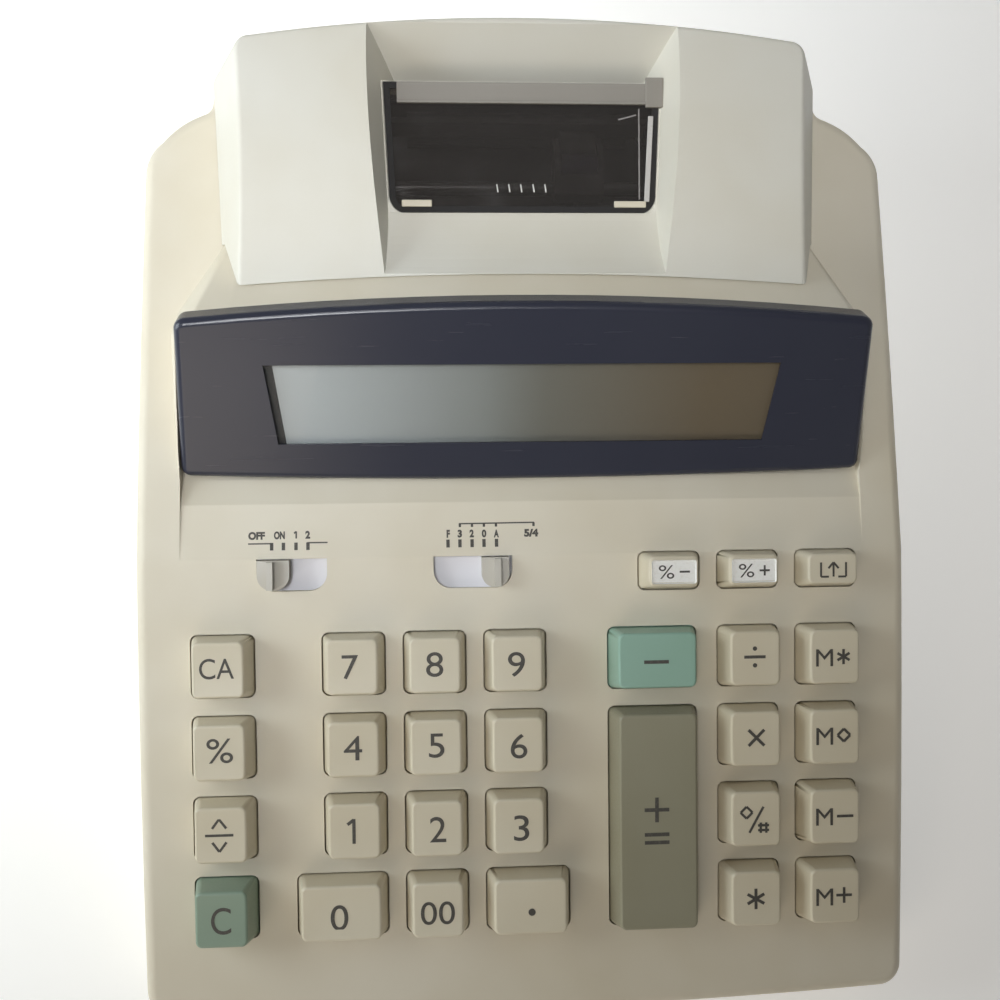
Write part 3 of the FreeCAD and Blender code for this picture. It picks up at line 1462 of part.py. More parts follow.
FLOOR = "(foot_height + wall)"
HEAD_SEAT = "(foot_height + head_pocket)"
PRINTER_POSTS = [
    ("-printer_post_x", "printer_post_front_y"),
    ("printer_post_x", "printer_post_front_y"),
    ("-printer_post_x", "printer_post_rear_y"),
    ("printer_post_x", "printer_post_rear_y"),
]
FEET = [
    ("-front_foot_x", "-front_foot_y"),
    ("front_foot_x", "-front_foot_y"),
    ("-rear_foot_x", "rear_foot_y"),
    ("rear_foot_x", "rear_foot_y"),
]

base_plinth = plan_prism("base_plinth", "base_inset", "foot_height", "2 * base_inset")
base_outer = plan_prism("base_outer", "0", "foot_height + base_inset",
                        "parting_height - foot_height - base_inset")
base_lip = plan_prism("base_lip", "wall + rest_gap", "parting_height - 1", "lip_height + 1")
base_void = plan_prism("base_void", "wall + rest_gap + lip_thickness", FLOOR, REACH)
base_shell = cut("base_shell", joined("base_solid", base_plinth, base_outer, base_lip), base_void)
base_blocks = [
    row_block("bay_rim_block", "-%s - bay_rim_width" % DOOR_HALF_LENGTH,
              DOOR_HALF_LENGTH + " + bay_rim_width",
              "bay_y - %s - door_travel - bay_rim_width" % DOOR_HALF_DEPTH,
              "bay_y + %s + bay_rim_width" % DOOR_HALF_DEPTH, "foot_height", RIM_TOP),
    bay_block("bay_box", "(bay_half_length + bay_wall)", "(bay_half_depth + bay_wall)",
              FLOOR, "bay_ceiling + bay_wall"),
    row_block("jack_stand", "-jack_x - jack_width / 2", "jack_width / 2 - jack_x",
              "jack_rear_y - jack_length", "jack_rear_y", "foot_height + wall / 2",
              "jack_z - jack_width / 2"),
]
base_blocks += case_bosses("base_boss", both_sides(BOSS_PLACES), "low_boss", FLOOR, "parting_height")
base_blocks += case_bosses("printer_post", PRINTER_POSTS, "boss", FLOOR, "printer_floor")
base_body = joined("base_body", base_shell, *base_blocks)

base_cuts = [
    row_block("door_space", "-%s - rest_gap" % DOOR_HALF_LENGTH, DOOR_HALF_LENGTH + " + rest_gap",
              "bay_y - %s - rest_gap - door_travel" % DOOR_HALF_DEPTH,
              "bay_y + %s + rest_gap" % DOOR_HALF_DEPTH, "0", DOOR_TOP + " + rest_gap"),
    bay_block("bay_space", "bay_half_length", "bay_half_depth", "0", "bay_ceiling"),
]
for index, x in enumerate(TONGUES, start=1):
    base_cuts.append(row_block("tongue_slot_%d" % index, x + " - 2 * door_margin - rest_gap",
                               x + " + 2 * door_margin + rest_gap", "bay_y",
                               "bay_y + %s + door_tongue + rest_gap" % DOOR_HALF_DEPTH,
                               "foot_height + door_lip", DOOR_TOP + " + rest_gap"))
base_cuts += case_bosses("head_space", both_sides(BOSS_PLACES), "screw_head + 2 * rest_gap", "0", HEAD_SEAT)
base_cuts += case_bosses("base_screw_hole", both_sides(BOSS_PLACES), PILOT, "0", REACH)
base_cuts += case_bosses("printer_pilot", PRINTER_POSTS, PILOT,
                         "printer_floor + plate - screw_length - rest_gap", REACH)
base_cuts += case_bosses("foot_seat_space", FEET, "foot_diameter", "0", "foot_height + foot_seat")
nodes["lower_case"] = cut("lower_case", base_body, joined("base_tools", *base_cuts))

foot_block = rod("foot_block", "foot_diameter", "foot_height + foot_seat", "z", "0", "0", "0")
foot_form = rounded("foot_form", foot_block, "foot_round", lambda edge: edge.BoundBox.ZMax < 0.01)
nodes["rubber_feet"] = group("rubber_feet", *[
    place(group("foot_%d" % index, foot_form), x, y, "0") for index, (x, y) in enumerate(FEET, start=1)])

cross = []
for label, length, width in (("screw_cross_wide", "screw_shaft", "screw_shaft / 4"),
                             ("screw_cross_deep", "screw_shaft / 4", "screw_shaft")):
    arm = block(label, length, width, "screw_head_height")
    cross.append(place(arm, "-%s / 2" % length, "-%s / 2" % width, "-1.5 * screw_head_height"))
screw_form = cut("screw_form", joined(
    "screw_blank",
    rod("screw_shank", "screw_shaft", "screw_length", "z", "0", "0", "0"),
    rod("screw_cap", "screw_head", "screw_head_height", "z", "0", "0", "-screw_head_height")),
    joined("screw_cross", *cross))
screws = []
for index, (x, y) in enumerate(both_sides(BOSS_PLACES), start=1):
    screws.append(place(group("case_screw_%d" % index, screw_form), x, y, HEAD_SEAT))
for index, (x, v) in enumerate(BOARD_POSTS, start=1):
    screws.append(place_on_deck(group("board_screw_%d" % index, screw_form), x, v, BOARD_BOTTOM))
for index, (x, y) in enumerate(PRINTER_POSTS, start=1):
    screw = group("printer_screw_%d" % index, screw_form)
    screw.Placement = FreeCAD.Placement(FreeCAD.Vector(), FreeCAD.Rotation(FreeCAD.Vector(1, 0, 0), 180))
    screws.append(place(screw, x, y, "printer_floor + plate"))
nodes["screws"] = group("screws", *screws)
doc.recompute()


# Printer frame, motor and shaft

MOTOR_Y = "(feed_axis_y - gear_module * (feed_teeth / 2 + idler_teeth + motor_teeth / 2))"
IDLER_Y = "(feed_axis_y - gear_module * (feed_teeth + idler_teeth) / 2)"
PLATE_IN = "(printer_half_width - plate)"
GEAR_X = "(printer_half_width + gear_offset)"
INK_REACH = "((type_wheel_diameter + ink_roller_diameter) / 2 + rest_gap / 3)"
INK_Y = "(type_wheel_y - %s * cos(ink_roller_lean))" % INK_REACH
INK_Z = "(type_wheel_z + %s * sin(ink_roller_lean))" % INK_REACH

frame_parts = [
    row_block("frame_floor", "-printer_half_width", "printer_half_width", "printer_front_y",
              "printer_rear_y", "printer_floor", "printer_floor + plate"),
    row_block("rest_bar", "-" + PLATE_IN, PLATE_IN, "rest_bar_y", "rest_bar_y + rest_bar_width",
              "rail_z - carriage_half_block - rest_gap - rest_bar_height",
              "rail_z - carriage_half_block - rest_gap"),
    row_block("platen", "-" + PLATE_IN, PLATE_IN, "platen_y", "platen_y + platen_thickness",
              "platen_bottom", "printer_top"),
    row_block("paper_guide", "-" + PLATE_IN, PLATE_IN, "printer_rear_y - guide_thickness",
              "printer_rear_y", "printer_floor", "printer_rear_top"),
    rod("idler_stub", "spindle", "gear_offset + gear_width + rest_gap + plate / 2", "x",
        "printer_half_width - plate / 2", IDLER_Y, "gear_axis_z"),
]
for side, x in (("left", "-printer_half_width + plate / 2"), ("right", "printer_half_width - plate / 2")):
    frame_parts.append(sideways(side + "_plate", [
        ("printer_front_y", "printer_floor"),
        ("printer_rear_y", "printer_floor"),
        ("printer_rear_y", "printer_rear_top"),
        ("platen_y + 3 * platen_thickness", "printer_top"),
        ("printer_step_y + 3 * plate", "printer_top"),
        ("printer_step_y", "printer_low_top"),
        ("printer_front_y + 2 * plate", "printer_low_top"),
        ("printer_front_y", "gear_axis_z"),
    ], "plate / 2", x))
frame_holes = [
    rod("rail_holes", "rail_diameter", "4 * printer_half_width", "x", "-2 * printer_half_width",
        "rail_y", "rail_z"),
    rod("feed_holes", "spindle + 2 * bearing_play", "4 * printer_half_width", "x",
        "-2 * printer_half_width", "feed_axis_y", "gear_axis_z"),
    rod("motor_hole", "3 * motor_shaft", "printer_half_width", "x", PLATE_IN + " - 1", MOTOR_Y,
        "gear_axis_z"),
]
frame_holes += case_bosses("printer_screw_hole", PRINTER_POSTS, PILOT, "printer_floor - 1",
                           "printer_floor + plate + 1")
nodes["printer_frame"] = cut("printer_frame", joined("frame_blank", *frame_parts),
                             joined("frame_tools", *frame_holes))
nodes["carriage_shaft"] = rod("carriage_shaft", "rail_diameter", "2 * printer_half_width + plate", "x",
                              "-printer_half_width - plate / 2", "rail_y", "rail_z")
SHAFT_X = "(%s - motor_length / 2)" % PLATE_IN
nodes["printer_motor"] = cut(
    "printer_motor",
    rod("motor_can", "motor_diameter", "motor_length", "x", PLATE_IN + " - motor_length", MOTOR_Y,
        "gear_axis_z"),
    rod("motor_bore", "motor_shaft + 2 * bearing_play", "motor_length", "x",
        SHAFT_X + " - rest_gap", MOTOR_Y, "gear_axis_z"))


# Gears, turning about axes along X

def gear(label, teeth, y, phase):
    """A spur gear with a tooth towards +Y, or half a tooth pitch round from there for phase 1."""
    body = doc.addObject("PartDesign::Body", label)
    body.Placement = FreeCAD.Placement(FreeCAD.Vector(), AXES["x"])
    place(body, GEAR_X, y, "gear_axis_z")
    pitch_radius = "(gear_module * %s / 2)" % teeth
    root_radius = "(%s - 1.25 * gear_module)" % pitch_radius
    disc = body.newObject("PartDesign::AdditiveCylinder", label + "_disc")
    bind_all(disc, [("Radius", root_radius), ("Height", "gear_width")])
    sketch = body.newObject("Sketcher::SketchObject", label + "_tooth")
    outline(label + "_tooth", [
        (root_radius + " - gear_module", "-tooth_half - 0.45 * gear_module"),
        (root_radius, "-tooth_half - 0.45 * gear_module"),
        (pitch_radius + " + 0.9 * gear_module", "0.33 * gear_module - tooth_half"),
        (pitch_radius + " + 0.9 * gear_module", "tooth_half - 0.33 * gear_module"),
        (root_radius, "tooth_half + 0.45 * gear_module"),
        (root_radius + " - gear_module", "tooth_half + 0.45 * gear_module"),
    ], sketch)
    turn = "90 + %d * 180 / %s" % (phase, teeth)
    sketch.Placement = FreeCAD.Placement(
        FreeCAD.Vector(), FreeCAD.Rotation(FreeCAD.Vector(0, 0, 1), number(turn)))
    bind(sketch, "Placement.Rotation.Angle", turn)
    tooth = body.newObject("PartDesign::Pad", label + "_pad")
    tooth.Profile = sketch
    bind(tooth, "Length", "gear_width")
    teeth_round = body.newObject("PartDesign::PolarPattern", label + "_teeth")
    teeth_round.Originals = [tooth]
    teeth_round.Axis = (sketch, ["N_Axis"])
    teeth_round.Angle = 360
    bind(teeth_round, "Occurrences", teeth)
    body.Tip = teeth_round
    return body


def axle_along_x(label, diameter, x0, x1, y, z):
    """A rod along X between two places."""
    return rod(label, diameter, "(%s) - (%s)" % (x1, x0), "x", x0, y, z)


GEAR_END = "(%s + gear_width)" % GEAR_X
nodes["feed_gear"] = cut("feed_gear", gear("feed_gear_form", "feed_teeth", "feed_axis_y", 0),
                         axle_along_x("feed_gear_bore", "spindle", GEAR_X + " - 1", GEAR_END + " + 1",
                                      "feed_axis_y", "gear_axis_z"))
nodes["idler_gear"] = cut("idler_gear", gear("idler_gear_form", "idler_teeth", IDLER_Y, 1),
                          axle_along_x("idler_bore", "spindle + 2 * bearing_play", GEAR_X + " - 1",
                                       GEAR_END + " + 1", IDLER_Y, "gear_axis_z"))
nodes["motor_gear"] = joined("motor_gear", gear("motor_gear_form", "motor_teeth", MOTOR_Y, 0),
                             axle_along_x("motor_spindle", "motor_shaft", SHAFT_X, GEAR_END + " + rest_gap",
                                          MOTOR_Y, "gear_axis_z"))
nodes["feed_roller"] = joined(
    "feed_roller",
    axle_along_x("feed_spindle", "spindle", "-printer_half_width - plate / 2",
                 GEAR_END + " + plate / 2", "feed_axis_y", "gear_axis_z"),
    axle_along_x("feed_sleeve", "feed_roller_diameter", "-feed_roller_half", "feed_roller_half",
                 "feed_axis_y", "gear_axis_z"))


# Print carriage

carriage_low = "(rail_z - carriage_half_block)"
carriage_front = "(rail_y - carriage_half_block)"
carriage_half = "(carriage_width / 2)"
carriage_parts = [row_block(
    "carriage_block", "carriage_x - " + carriage_half, "carriage_x + " + carriage_half, carriage_front,
    "rail_y + carriage_half_block", carriage_low, "rail_z + carriage_half_block")]
for side, sign in (("left", "-"), ("right", "+")):
    carriage_parts.append(sideways("carriage_%s_cheek" % side, [
        (carriage_front, carriage_low),
        ("carriage_rear_y", carriage_low),
        ("carriage_rear_y", "type_wheel_z + carriage_cheek"),
        (INK_Y + " + 1.5 * carriage_cheek", "carriage_top"),
        (INK_Y + " - carriage_cheek", "carriage_top"),
        ("rail_y + carriage_half_block", "rail_z + carriage_half_block"),
        (carriage_front, "rail_z + carriage_half_block"),
    ], "carriage_cheek / 2", "carriage_x %s (%s - carriage_cheek / 2)" % (sign, carriage_half)))
carriage_ends = ("carriage_x - carriage_width", "carriage_x + carriage_width")
carriage_holes = [
    axle_along_x("carriage_bore", "rail_diameter + 2 * bearing_play", carriage_ends[0],
                 carriage_ends[1], "rail_y", "rail_z"),
    axle_along_x("type_axle_hole", "axle + 2 * bearing_play", carriage_ends[0], carriage_ends[1],
                 "type_wheel_y", "type_wheel_z"),
    axle_along_x("ink_axle_hole", "axle + 2 * bearing_play", carriage_ends[0], carriage_ends[1],
                 INK_Y, INK_Z),
]
nodes["print_carriage"] = cut("print_carriage", joined("carriage_blank", *carriage_parts),
                              group("carriage_holes", *carriage_holes))
for node, diameter, y, z in (("type_wheel", "type_wheel_diameter", "type_wheel_y", "type_wheel_z"),
                             ("ink_roller", "ink_roller_diameter", INK_Y, INK_Z)):
    drum = "(%s - carriage_cheek - rest_gap)" % carriage_half
    nodes[node] = joined(
        node,
        axle_along_x(node + "_drum", diameter, "carriage_x - " + drum, "carriage_x + " + drum, y, z),
        axle_along_x(node + "_axle", "axle", "carriage_x - " + carriage_half, "carriage_x + " + carriage_half,
                     y, z))


# Paper roll arms and adapter jack

ARM_MIDDLE = "(recess_floor + recess_height / 2)"
for side, sign, rise in (("left", "-", "-"), ("right", "", "")):
    node = side + "_roll_arm"
    pivot = "(%sroll_pivot_x)" % sign
    tip = "(%s + %s)" % (pivot, "roll_arm_length" if side == "left" else "-roll_arm_length")
    root_z = "(%s + %sroll_arm_offset)" % (ARM_MIDDLE, rise)
    near, far = (pivot, root_z), (tip, ARM_MIDDLE)
    ends = (near, far) if side == "left" else (far, near)
    half = "roll_arm_height / 2"
    bar_face = outline(node + "_face", [
        (ends[0][0], "-(%s + %s)" % (ends[0][1], half)),
        (ends[1][0], "-(%s + %s)" % (ends[1][1], half)),
        (ends[1][0], "-(%s - %s)" % (ends[1][1], half)),
        (ends[0][0], "-(%s - %s)" % (ends[0][1], half)),
    ])
    bar_face.Placement = FreeCAD.Placement(FreeCAD.Vector(), AXES["y"])
    place(bar_face, "0", "roll_pivot_y - roll_arm_thickness / 2", "0")
    nodes[node] = joined(
        node,
        rod(node + "_hub", "roll_hub", "recess_height - 2 * rest_gap", "z", pivot, "roll_pivot_y",
            "recess_floor + rest_gap"),
        rod(node + "_pin", "arm_pin", "recess_height + 1.8 * wall - 2 * rest_gap", "z", pivot,
            "roll_pivot_y", "recess_floor - 0.9 * wall + rest_gap"),
        raised(node + "_bar", bar_face, "roll_arm_thickness"),
        rod(node + "_end", "roll_stud + plate / 4", "roll_arm_thickness", "y", tip,
            "roll_pivot_y - roll_arm_thickness / 2", ARM_MIDDLE),
        rod(node + "_stud", "roll_stud", "roll_arm_thickness + roll_stud_length", "y", tip,
            "roll_pivot_y - roll_arm_thickness / 2 - roll_stud_length", ARM_MIDDLE))

nodes["adapter_jack"] = cut(
    "adapter_jack",
    row_block("jack_block", "-jack_x - jack_width / 2", "jack_width / 2 - jack_x",
              "jack_rear_y - jack_length", "jack_rear_y", "jack_z - jack_width / 2",
              "jack_z + jack_width / 2"),
    rod("jack_bore_space", "jack_bore", "jack_depth + 1", "y", "-jack_x", "jack_rear_y - jack_depth",
        "jack_z"))


# Checks and export

doc.recompute()
for thing in doc.Objects:
    if "Invalid" in thing.State or "Error" in thing.State:
        raise RuntimeError("%s did not build: %s" % (thing.Name, thing.State))
os.makedirs("parts", exist_ok=True)
for node, thing in nodes.items():
    shape = thing.Shape
    if shape.isNull() or not shape.isValid() or not shape.Solids:
        raise RuntimeError("%s has no valid solid" % node)
    thing.Label = node
for node, thing in nodes.items():
    thing.Shape.exportStep(os.path.join("parts", node + ".step"))
print("%d nodes, %d solids" % (len(nodes), sum(len(thing.Shape.Solids) for thing in nodes.values())))
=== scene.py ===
# %% [markdown]
# # A desktop printing calculator
#
# The object is a sloping plastic case with twenty-nine key caps, a tilted number display and a small
# printer under a lift-up cover. The engineering model already gives every part its true size, so this
# lesson is about surfaces: what each part is made of, how it was moulded, printed or assembled, and how
# that is built in Blender. We start by loading the engineering model.

# %% Load the engineering model
import json
import math

import bpy
from mathutils import Matrix, Vector


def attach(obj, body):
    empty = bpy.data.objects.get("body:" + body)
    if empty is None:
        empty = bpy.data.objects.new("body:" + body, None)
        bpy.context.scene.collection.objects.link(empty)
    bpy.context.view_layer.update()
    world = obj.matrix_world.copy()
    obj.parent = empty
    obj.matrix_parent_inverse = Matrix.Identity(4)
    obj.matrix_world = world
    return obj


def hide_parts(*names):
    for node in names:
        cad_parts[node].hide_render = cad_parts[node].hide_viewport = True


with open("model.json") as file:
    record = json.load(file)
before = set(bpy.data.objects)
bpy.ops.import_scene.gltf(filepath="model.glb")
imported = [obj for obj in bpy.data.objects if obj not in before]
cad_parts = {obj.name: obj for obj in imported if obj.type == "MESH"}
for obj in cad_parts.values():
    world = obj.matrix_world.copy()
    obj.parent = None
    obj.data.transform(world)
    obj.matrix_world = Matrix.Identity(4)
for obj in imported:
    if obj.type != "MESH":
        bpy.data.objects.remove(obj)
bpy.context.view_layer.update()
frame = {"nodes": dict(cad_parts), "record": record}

nodes = frame["nodes"]

# %% [markdown]
# ## Where things are
#
# All sizes below are in millimetres, because that is how a maker measures a calculator, and one function
# turns them into Blender's metres. The keys sit on a panel that leans 9.5 degrees towards the user.
# `on_panel` takes a place across the panel, a place up the panel and a height above it. Writing places
# this way means that a legend is put on its key in the numbers that one would read off a ruler laid on
# the panel, without working out its height above the table.

# %% Millimetres and the sloping key panel
MM = 0.001
PANEL_TILT = math.radians(9.5)
PANEL_ORIGIN = (0.0, -26.6995, 35.8407)


def on_panel(x, v, n):
    """The place, in metres, of a point given across, up and out from the key panel in millimetres."""
    y = PANEL_ORIGIN[1] + v * math.cos(PANEL_TILT) - n * math.sin(PANEL_TILT)
    z = PANEL_ORIGIN[2] + v * math.sin(PANEL_TILT) + n * math.cos(PANEL_TILT)
    return Vector((x, y, z)) * MM


print("The panel's rear key row starts at", [round(c / MM, 1) for c in on_panel(0, 0, 0)])

# %% [markdown]
# ## The camera
#
# The photograph was taken by hand, almost straight down, from about 30 cm above the keys, which is why
# the near end of the case runs out of the frame and the sides lean outwards. A long lens from far away
# would give the same outline but lose that lean. The place and turn below were found from the corners of
# the key wells, which form a regular grid of known size.

# %% Camera at the photograph's angle
camera_data = bpy.data.cameras.new("Camera")
camera_data.sensor_width = 36
camera_data.lens = 36 * 1169 / 1000
camera = bpy.data.objects.new("Camera", camera_data)
camera.location = Vector((-25.818, -33.556, 331.358)) * MM
camera.rotation_euler = [math.radians(angle) for angle in (7.6900, -3.5752, -1.2540)]
bpy.context.scene.collection.objects.link(camera)
bpy.context.scene.camera = camera
print("Camera is", round(camera.location.z / MM), "mm above the table")

# %% [markdown]
# ## Soft studio light on a pale floor
#
# The photograph was lit by cool daylight from the left and behind: the left edges of the keys and the
# paper trough shine, and the front right of the case falls into a warm shade at half the brightness. A
# softbox high up does that: it is aimed at the paper trough and wears a grid, which narrows its beam, so
# the light fades towards the reader. A small one close to the left side edges the keys, and a warm one in
# front lights the slopes that face the reader. A wide card overhead is the room's ceiling and opens the
# shadows. The white board is lit from below, as on a light table, because the floor of the photograph
# is brighter than anything on it. A round wall of grey paper closes the studio far behind, so that the
# background is plain and pale from every side, and it glows only a little, or it would flatten the light.

# %% Floor and round wall
bpy.ops.object.select_all(action="DESELECT")
STUDIO_RADIUS = 2.5
WALL_HEIGHT = 3
bpy.ops.mesh.primitive_circle_add(vertices=96, radius=STUDIO_RADIUS, fill_type="NGON")
floor = bpy.context.object
floor.name = "studio_floor"
bpy.ops.object.select_all(action="DESELECT")
bpy.ops.mesh.primitive_cylinder_add(vertices=96, radius=STUDIO_RADIUS, depth=WALL_HEIGHT,
                                    end_fill_type="NOTHING", location=(0, 0, WALL_HEIGHT / 2))
wall = bpy.context.object
wall.name = "studio_wall"
bpy.ops.object.shade_smooth()
print("The studio is", 2 * STUDIO_RADIUS, "m across and", WALL_HEIGHT, "m high")

# %% Area lights and world


def area_light(name, place, target, size, power, colour, beam=180):
    """A square lamp of a size in metres, turned to face a point, with a beam angle in degrees."""
    lamp = bpy.data.lights.new(name, "AREA")
    lamp.size = size
    lamp.spread = math.radians(beam)
    lamp.energy = power
    lamp.color = colour
    holder = bpy.data.objects.new(name, lamp)
    holder.location = place
    holder.rotation_euler = (Vector(target) - Vector(place)).to_track_quat("-Z", "Y").to_euler()
    bpy.context.scene.collection.objects.link(holder)


area_light("trough_beam", (-0.18, 0.00, 0.80), (-0.05, 0.13, 0.05), 0.30, 0.24, (0.96, 0.98, 1.0), 34)
area_light("side_softbox", (-0.42, 0.05, 0.20), (-0.05, 0.03, 0.04), 0.25, 1.15, (0.86, 0.95, 1.0))
area_light("front_softbox", (-0.32, -0.55, 0.40), (0, 0.05, 0.05), 0.4, 1.0, (1.0, 0.88, 0.72))
area_light("ceiling_card", (0.05, 0.15, 1.30), (0, 0.05, 0.05), 1.2, 0.5, (1.0, 0.85, 0.66))
world = bpy.data.worlds.new("Studio")
bpy.context.scene.world = world
world.use_nodes = True
world.node_tree.nodes["Background"].inputs["Color"].default_value = (0.9, 0.92, 0.95, 1)
world.node_tree.nodes["Background"].inputs["Strength"].default_value = 0.03
bpy.context.scene.view_settings.view_transform = "Standard"
print("Four area lights and a pale world")

# %% [markdown]
# ## Tools for materials
#
# Colours are given in sRGB, the numbers that a colour picker shows, while Blender works in
# linear light, so one function does the change. Every material is a short list of nodes, and a single
# helper adds a node, sets it and links it, which keeps each material readable from top to bottom.

# %% Colour and node helpers


def linear(code):
    """Turn an sRGB hex colour into Blender's linear colour."""
    channels = []
    for start in (0, 2, 4):
        share = int(code[start:start + 2], 16) / 255
        channels.append(share / 12.92 if share <= 0.04045 else ((share + 0.055) / 1.055) ** 2.4)
    return (*channels, 1.0)


def add_node(tree, kind, settings, links=()):
    """Add a node, set its properties and sockets, and link (socket, source output) pairs into it."""
    node = tree.nodes.new(kind)
    for name, value in settings.items():
        if isinstance(name, str) and hasattr(node, name):
            setattr(node, name, value)
        else:
            node.inputs[name].default_value = value
    for name, source in links:
        tree.links.new(source, node.inputs[name])
    return node


def new_material(name, **shader_settings):
    """An empty material with one Principled shader, whose sockets are set by name."""
    material = bpy.data.materials.new(name)
    material.use_nodes = True
    shader = material.node_tree.nodes["Principled BSDF"]
    for socket, value in shader_settings.items():
        shader.inputs[socket.replace("_", " ")].default_value = value
    return material, material.node_tree, shader


def studio_board(name, colour, fibre_colour, glow):
    """Matt board with fibres of about 5 mm, which glows a little where it is lit from behind."""
    material, tree, shader = new_material(name, Roughness=0.9, Emission_Strength=glow)
    place = add_node(tree, "ShaderNodeTexCoord", {}).outputs["Object"]
    fibre = add_node(tree, "ShaderNodeTexNoise", {"Scale": 200, "Detail": 3}, [("Vector", place)])
    tint = add_node(tree, "ShaderNodeMix",
                    {"data_type": "RGBA", 6: linear(colour), 7: linear(fibre_colour)},
                    [(0, fibre.outputs["Fac"])])
    tree.links.new(tint.outputs[2], shader.inputs["Base Color"])
    return material


floor.data.materials.append(studio_board("Matt_white_board", "F6F5F2", "F1F0EC", 0.28))
wall.data.materials.append(studio_board("Matt_grey_paper", "BEBEBB", "B8B8B5", 0.08))
print("White is", [round(c, 3) for c in linear("FFFFFF")], "and mid grey", round(linear("808080")[0], 3))

# %% [markdown]
# ## Aged ABS, the case and the keys
#
# The case, cover and keys are injection-moulded ABS. The mould was spark-eroded, which leaves a fine
# matt texture of about a fifth of a millimetre, and thirty years of light have yellowed the plastic
# unevenly. A single colour would look like paint. So two close colours are mixed by a slow cloud about
# as wide as a hand, a fine noise raises the texture, and the same noise varies the roughness a little,
# which is what breaks up the highlights on real moulded plastic. The texture is drawn at 0.45 mm,
# about twice its real size, because anything finer vanishes at this distance.

# %% Moulded plastic
AGEING_PATCH = 60


def moulded_plastic(name, colour, aged_colour, roughness, grain=0.45, relief=0.02):
    """ABS from a textured mould. Grain and relief are in millimetres."""
    material, tree, shader = new_material(name, IOR=1.53)
    place = add_node(tree, "ShaderNodeTexCoord", {}).outputs["Object"]
    cloud = add_node(tree, "ShaderNodeTexNoise",
                     {"Scale": 1 / (AGEING_PATCH * MM), "Detail": 3, "Roughness": 0.6}, [("Vector", place)])
    tone_shift = add_node(tree, "ShaderNodeMapRange", {"From Min": 0.35, "From Max": 0.65},
                      [("Value", cloud.outputs["Fac"])])
    tint = add_node(tree, "ShaderNodeMix",
                    {"data_type": "RGBA", 6: linear(colour), 7: linear(aged_colour)},
                    [(0, tone_shift.outputs["Result"])])
    texture = add_node(tree, "ShaderNodeTexNoise", {"Scale": 1 / (grain * MM), "Detail": 2},
                       [("Vector", place)])
    sheen = add_node(tree, "ShaderNodeMapRange",
                     {"From Min": 0.3, "From Max": 0.7, "To Min": roughness - 0.05,
                      "To Max": roughness + 0.06}, [("Value", texture.outputs["Fac"])])
    raised = add_node(tree, "ShaderNodeBump", {"Strength": 0.5, "Distance": relief * MM},
                      [("Height", texture.outputs["Fac"])])
    tree.links.new(tint.outputs[2], shader.inputs["Base Color"])
    tree.links.new(sheen.outputs["Result"], shader.inputs["Roughness"])
    tree.links.new(raised.outputs["Normal"], shader.inputs["Normal"])
    return material


case_abs = moulded_plastic("Yellowed_ABS_case", "DCD5C4", "D3CAB5", 0.5)
cover_abs = moulded_plastic("Cream_ABS_cover", "DAD8CF", "D3CFC2", 0.5)
key_abs = moulded_plastic("Satin_ABS_keys", "D6CEB9", "CFC5AD", 0.38, relief=0.008)
clear_key_abs = moulded_plastic("Sage_ABS_clear_key", "8CA190", "869987", 0.38, relief=0.008)
minus_key_abs = moulded_plastic("Mint_ABS_minus_key", "93B5A6", "8CAE9C", 0.38, relief=0.008)
plus_key_abs = moulded_plastic("Olive_ABS_plus_key", "96937F", "8E8A74", 0.4, relief=0.008)
white_abs = moulded_plastic("White_ABS_inner_parts", "EDEBE4", "E4E0D4", 0.5)
knob_abs = moulded_plastic("Grey_beige_ABS_switch_knobs", "BEBAB0", "B4AFA4", 0.38, relief=0.008)
backing_film = moulded_plastic("Cool_white_backing_strip", "E4E4EC", "DADAE2", 0.45, relief=0.006)
black_abs = moulded_plastic("Black_ABS_mechanism", "3A3A3C", "333335", 0.45, relief=0.01)
rubber = moulded_plastic("Black_rubber_feet", "2A2A2A", "323230", 0.75, grain=0.6)
roller = moulded_plastic("Ground_rubber_rollers", "303032", "38383A", 0.6, grain=0.3)
felt = moulded_plastic("Ink_soaked_felt", "2E2440", "241C33", 0.85, grain=0.35, relief=0.08)
silicone = moulded_plastic("Silicone_key_mat", "C9C9C4", "C0BFB8", 0.6, grain=0.8)
board = moulded_plastic("Lacquered_circuit_board", "4B6B3C", "3F5C32", 0.3, grain=1.2)
sleeve = moulded_plastic("Printed_cell_sleeve", "3F4448", "4A4F54", 0.35, relief=0.004)
print("Made", len(bpy.data.materials), "materials so far")

# %% [markdown]
# ## Navy gloss on the display surround
#
# The display surround is navy acrylic, once polished. Years of wiping have dulled it, so it mirrors the
# room only as a wide soft haze, and its shine must come from the lights. Handling has left hairline
# scratches about 25 mm long and a millimetre apart. A noise stretched along one direction draws them in
# the roughness only, so that they show where a lamp is reflected, as real ones do.

